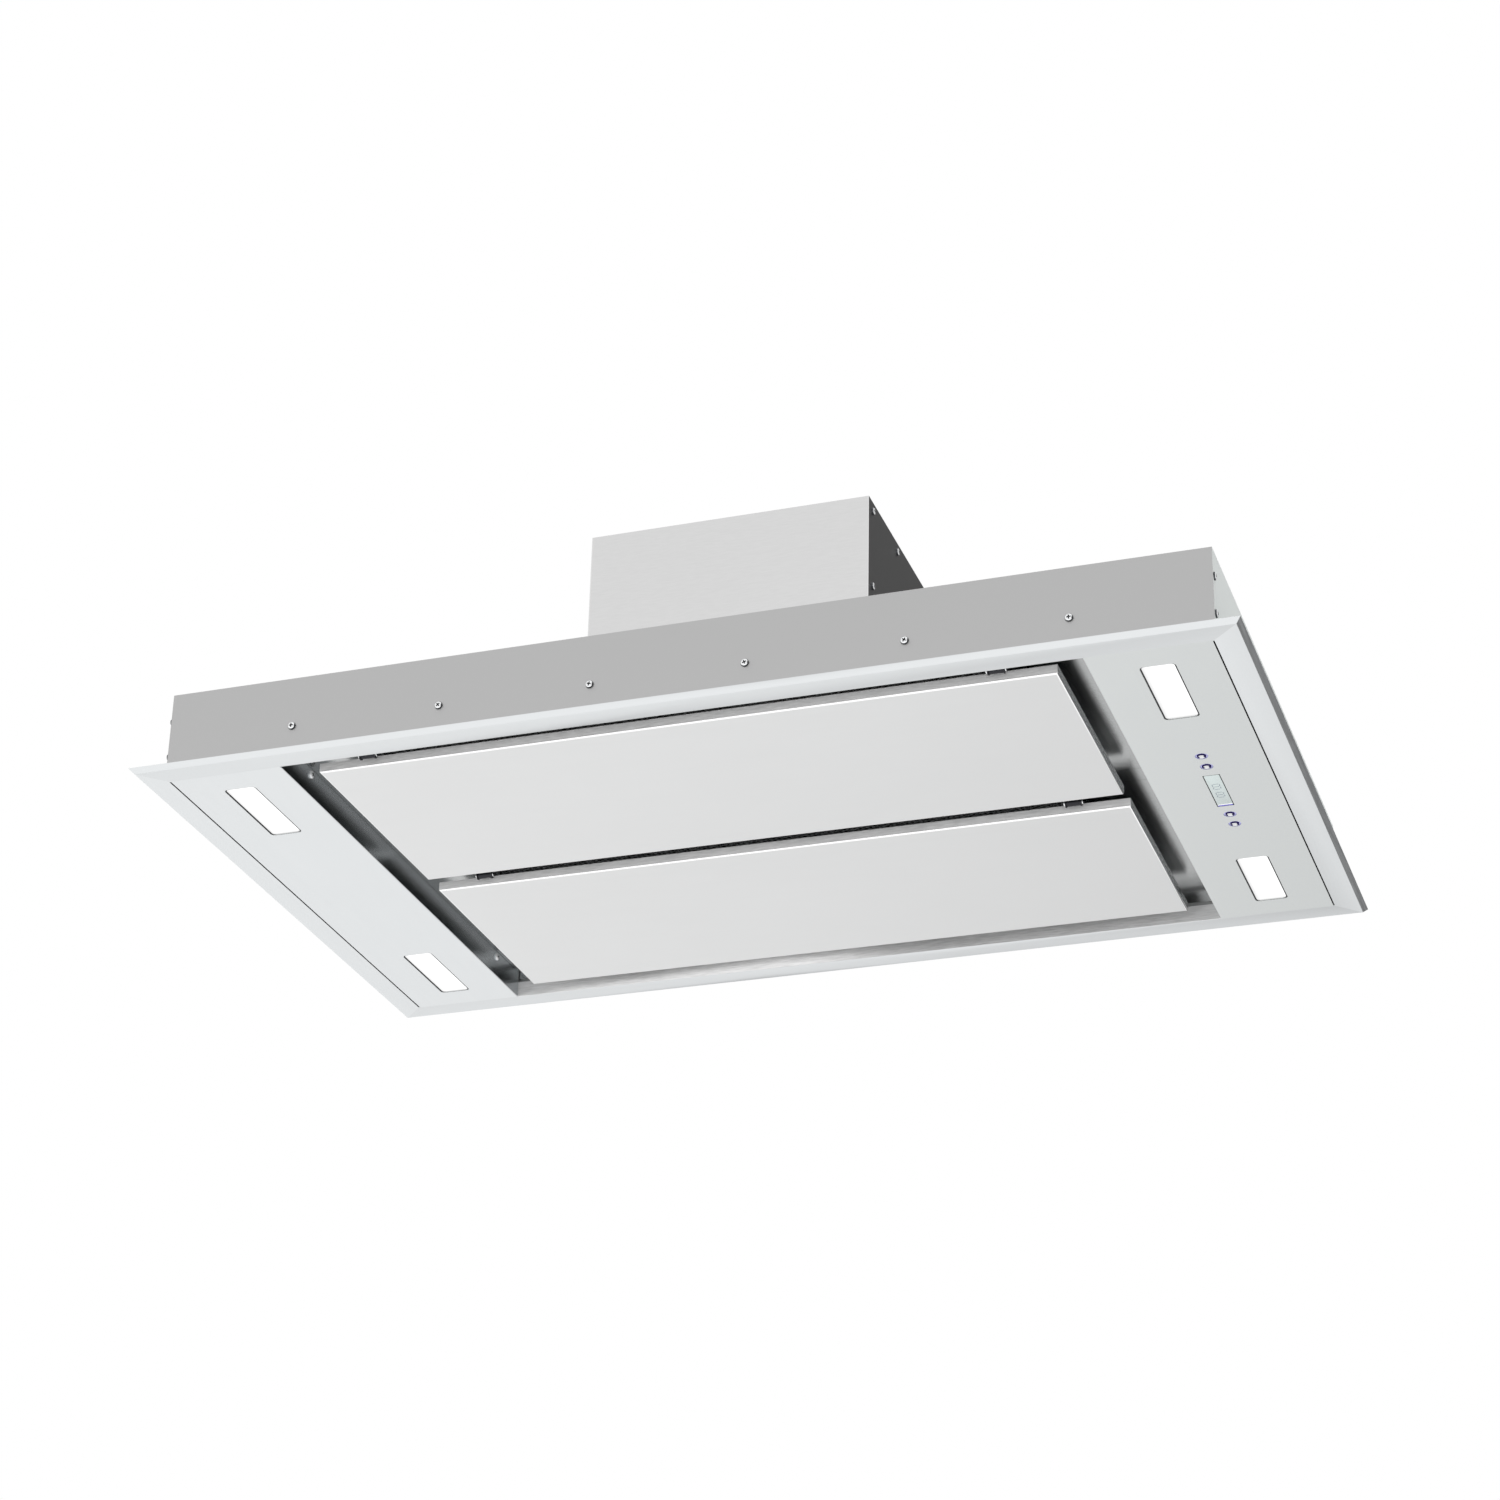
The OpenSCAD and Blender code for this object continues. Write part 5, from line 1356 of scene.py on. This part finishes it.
# Name, place, what it points at, size and power of each light
LIGHTS = (
    ("Side light", (3.0, 0.7, 0.0), (0.47, 0, 0), (2.0, 2.0), 37),
    ("Low light", (0.3, -2.8, -1.0), (0, 0, 0), (2.5, 1.5), 16))


def area_light(name, at, aim, size, power):
    """A soft light that shows in no reflection."""
    data = bpy.data.lights.new(name, "AREA")
    data.shape = "RECTANGLE"
    data.size, data.size_y = size
    data.energy = power
    light = bpy.data.objects.new(name, data)
    bpy.context.scene.collection.objects.link(light)
    light.location = at
    light.rotation_euler = (Vector(aim) - Vector(at)).to_track_quat("-Z", "Y").to_euler()
    light.visible_camera = False
    light.visible_glossy = False


def toward(tree, where, way, start, end, first, last):
    """A value that goes from first to last as a direction turns to one way, by angle."""
    along = add_node(tree, "ShaderNodeVectorMath", "Value", {
        0: where, 1: Vector(way).normalized()}, operation="DOT_PRODUCT")
    return spread(tree, along, first, last, math.cos(math.radians(start)),
                  math.cos(math.radians(end)), interpolation_type="SMOOTHSTEP")


def studio_world():
    """White to look at, and a soft room with darker flags for the steel to mirror."""
    world = bpy.data.worlds.new("Studio")
    bpy.context.scene.world = world
    world.use_nodes = True
    tree = world.node_tree
    tree.nodes.clear()
    where = add_node(tree, "ShaderNodeTexCoord", "Generated", {})
    flag = toward(tree, where, (0.47, 0.83, 0.25), start=66, end=4, first=1.05, last=0.06)
    side = toward(tree, where, (0.85, -0.45, 0.30), start=40, end=22, first=1.0, last=0.15)
    below = toward(tree, where, (-0.2, -0.4, -0.9), start=62, end=20, first=0.0, last=0.30)
    shaded = add_node(tree, "ShaderNodeMath", "Value", {
        0: flag, 1: side, 2: below}, operation="MULTIPLY_ADD")
    room = add_node(tree, "ShaderNodeBackground", "Background", {
        "Color": WHITE, "Strength": shaded})
    white = add_node(tree, "ShaderNodeBackground", "Background", {"Color": WHITE})
    seen = add_node(tree, "ShaderNodeLightPath", "Is Camera Ray", {})
    both = add_node(tree, "ShaderNodeMixShader", "Shader", {"Fac": seen, 1: room, 2: white})
    plug(tree, tree.nodes.new("ShaderNodeOutputWorld"), {"Surface": both})


def studio_camera():
    """A camera at the place and angles of the photograph's."""
    look = Vector((math.sin(CAMERA_YAW) * math.cos(CAMERA_PITCH),
                   math.cos(CAMERA_YAW) * math.cos(CAMERA_PITCH), math.sin(CAMERA_PITCH)))
    level = Vector((math.cos(CAMERA_YAW), -math.sin(CAMERA_YAW), 0))
    up = level.cross(look)
    right = math.cos(CAMERA_ROLL) * level + math.sin(CAMERA_ROLL) * up
    top = math.cos(CAMERA_ROLL) * up - math.sin(CAMERA_ROLL) * level
    data = bpy.data.cameras.new("Camera")
    data.sensor_width = SENSOR_MM
    data.lens = FOCAL_PX / PHOTO_SIDE_PX * SENSOR_MM
    data.clip_end = 100
    camera = bpy.data.objects.new("Camera", data)
    bpy.context.scene.collection.objects.link(camera)
    turn = Matrix((right, top, -look)).transposed()
    camera.matrix_world = Matrix.Translation(CAMERA_AT) @ turn.to_4x4()
    bpy.context.scene.camera = camera


class HOOD_OT_stage(bpy.types.Operator):
    """Lays the pale floor and sets the lights, the room and the camera"""
    bl_idname = "hood.stage"
    bl_label = "Stage"

    def execute(self, context):
        clear_selection()
        bpy.ops.mesh.primitive_circle_add(
            vertices=96, radius=FLOOR_R, location=(0, 0, FLOOR_Z), fill_type="NGON")
        floor = context.object
        floor.name = "studio_floor"
        bpy.ops.object.transform_apply(location=True)
        pale = moulded("Studio floor", (0.93, 0.93, 0.93), 0.7, grain=40, depth=0.02, cloud=0.02)
        floor.data.materials.append(pale)
        floor.visible_glossy = False
        floor.visible_diffuse = False
        studio_world()
        for light in LIGHTS:
            area_light(*light)
        studio_camera()
        context.scene.view_settings.view_transform = "Standard"
        return {"FINISHED"}


class HOOD_PT_panel(bpy.types.Panel):
    """Lists the hood's pieces in the 3D view's sidebar"""
    bl_idname = "HOOD_PT_panel"
    bl_label = "Range Hood"
    bl_space_type = "VIEW_3D"
    bl_region_type = "UI"
    bl_category = "Range Hood"

    def draw(self, context):
        for group in (context.scene.hood_sizes, context.scene.hood_colours):
            for name in group.bl_rna.properties.keys():
                if name not in ("rna_type", "name"):
                    self.layout.prop(group, name)
        for operator in OPERATORS:
            self.layout.operator(operator.bl_idname)


OPERATORS = (
    HOOD_OT_bottom_frame, HOOD_OT_end_panels, HOOD_OT_suction_panels, HOOD_OT_casing,
    HOOD_OT_motor_housing, HOOD_OT_screws, HOOD_OT_hinges, HOOD_OT_filters, HOOD_OT_lamps,
    HOOD_OT_buttons, HOOD_OT_display, HOOD_OT_fan, HOOD_OT_outlet, HOOD_OT_terminal_box,
    HOOD_OT_stage)
CLASSES = (HoodSizes, HoodColours, *OPERATORS, HOOD_PT_panel)


def register():
    for cls in CLASSES:
        bpy.utils.register_class(cls)
    bpy.types.Scene.hood_sizes = bpy.props.PointerProperty(type=HoodSizes)
    bpy.types.Scene.hood_colours = bpy.props.PointerProperty(type=HoodColours)


def unregister():
    del bpy.types.Scene.hood_colours
    del bpy.types.Scene.hood_sizes
    for cls in reversed(CLASSES):
        bpy.utils.unregister_class(cls)


def main():
    register()
    make_finishes(bpy.context.scene.hood_colours)
    bpy.ops.hood.bottom_frame()
    bpy.ops.hood.end_panels()
    bpy.ops.hood.suction_panels()
    bpy.ops.hood.casing()
    bpy.ops.hood.motor_housing()
    bpy.ops.hood.screws()
    bpy.ops.hood.hinges()
    bpy.ops.hood.filters()
    bpy.ops.hood.lamps()
    bpy.ops.hood.buttons()
    bpy.ops.hood.display()
    bpy.ops.hood.fan()
    bpy.ops.hood.outlet()
    bpy.ops.hood.terminal_box()
    bpy.ops.hood.stage()


if __name__ == "__main__":
    main()
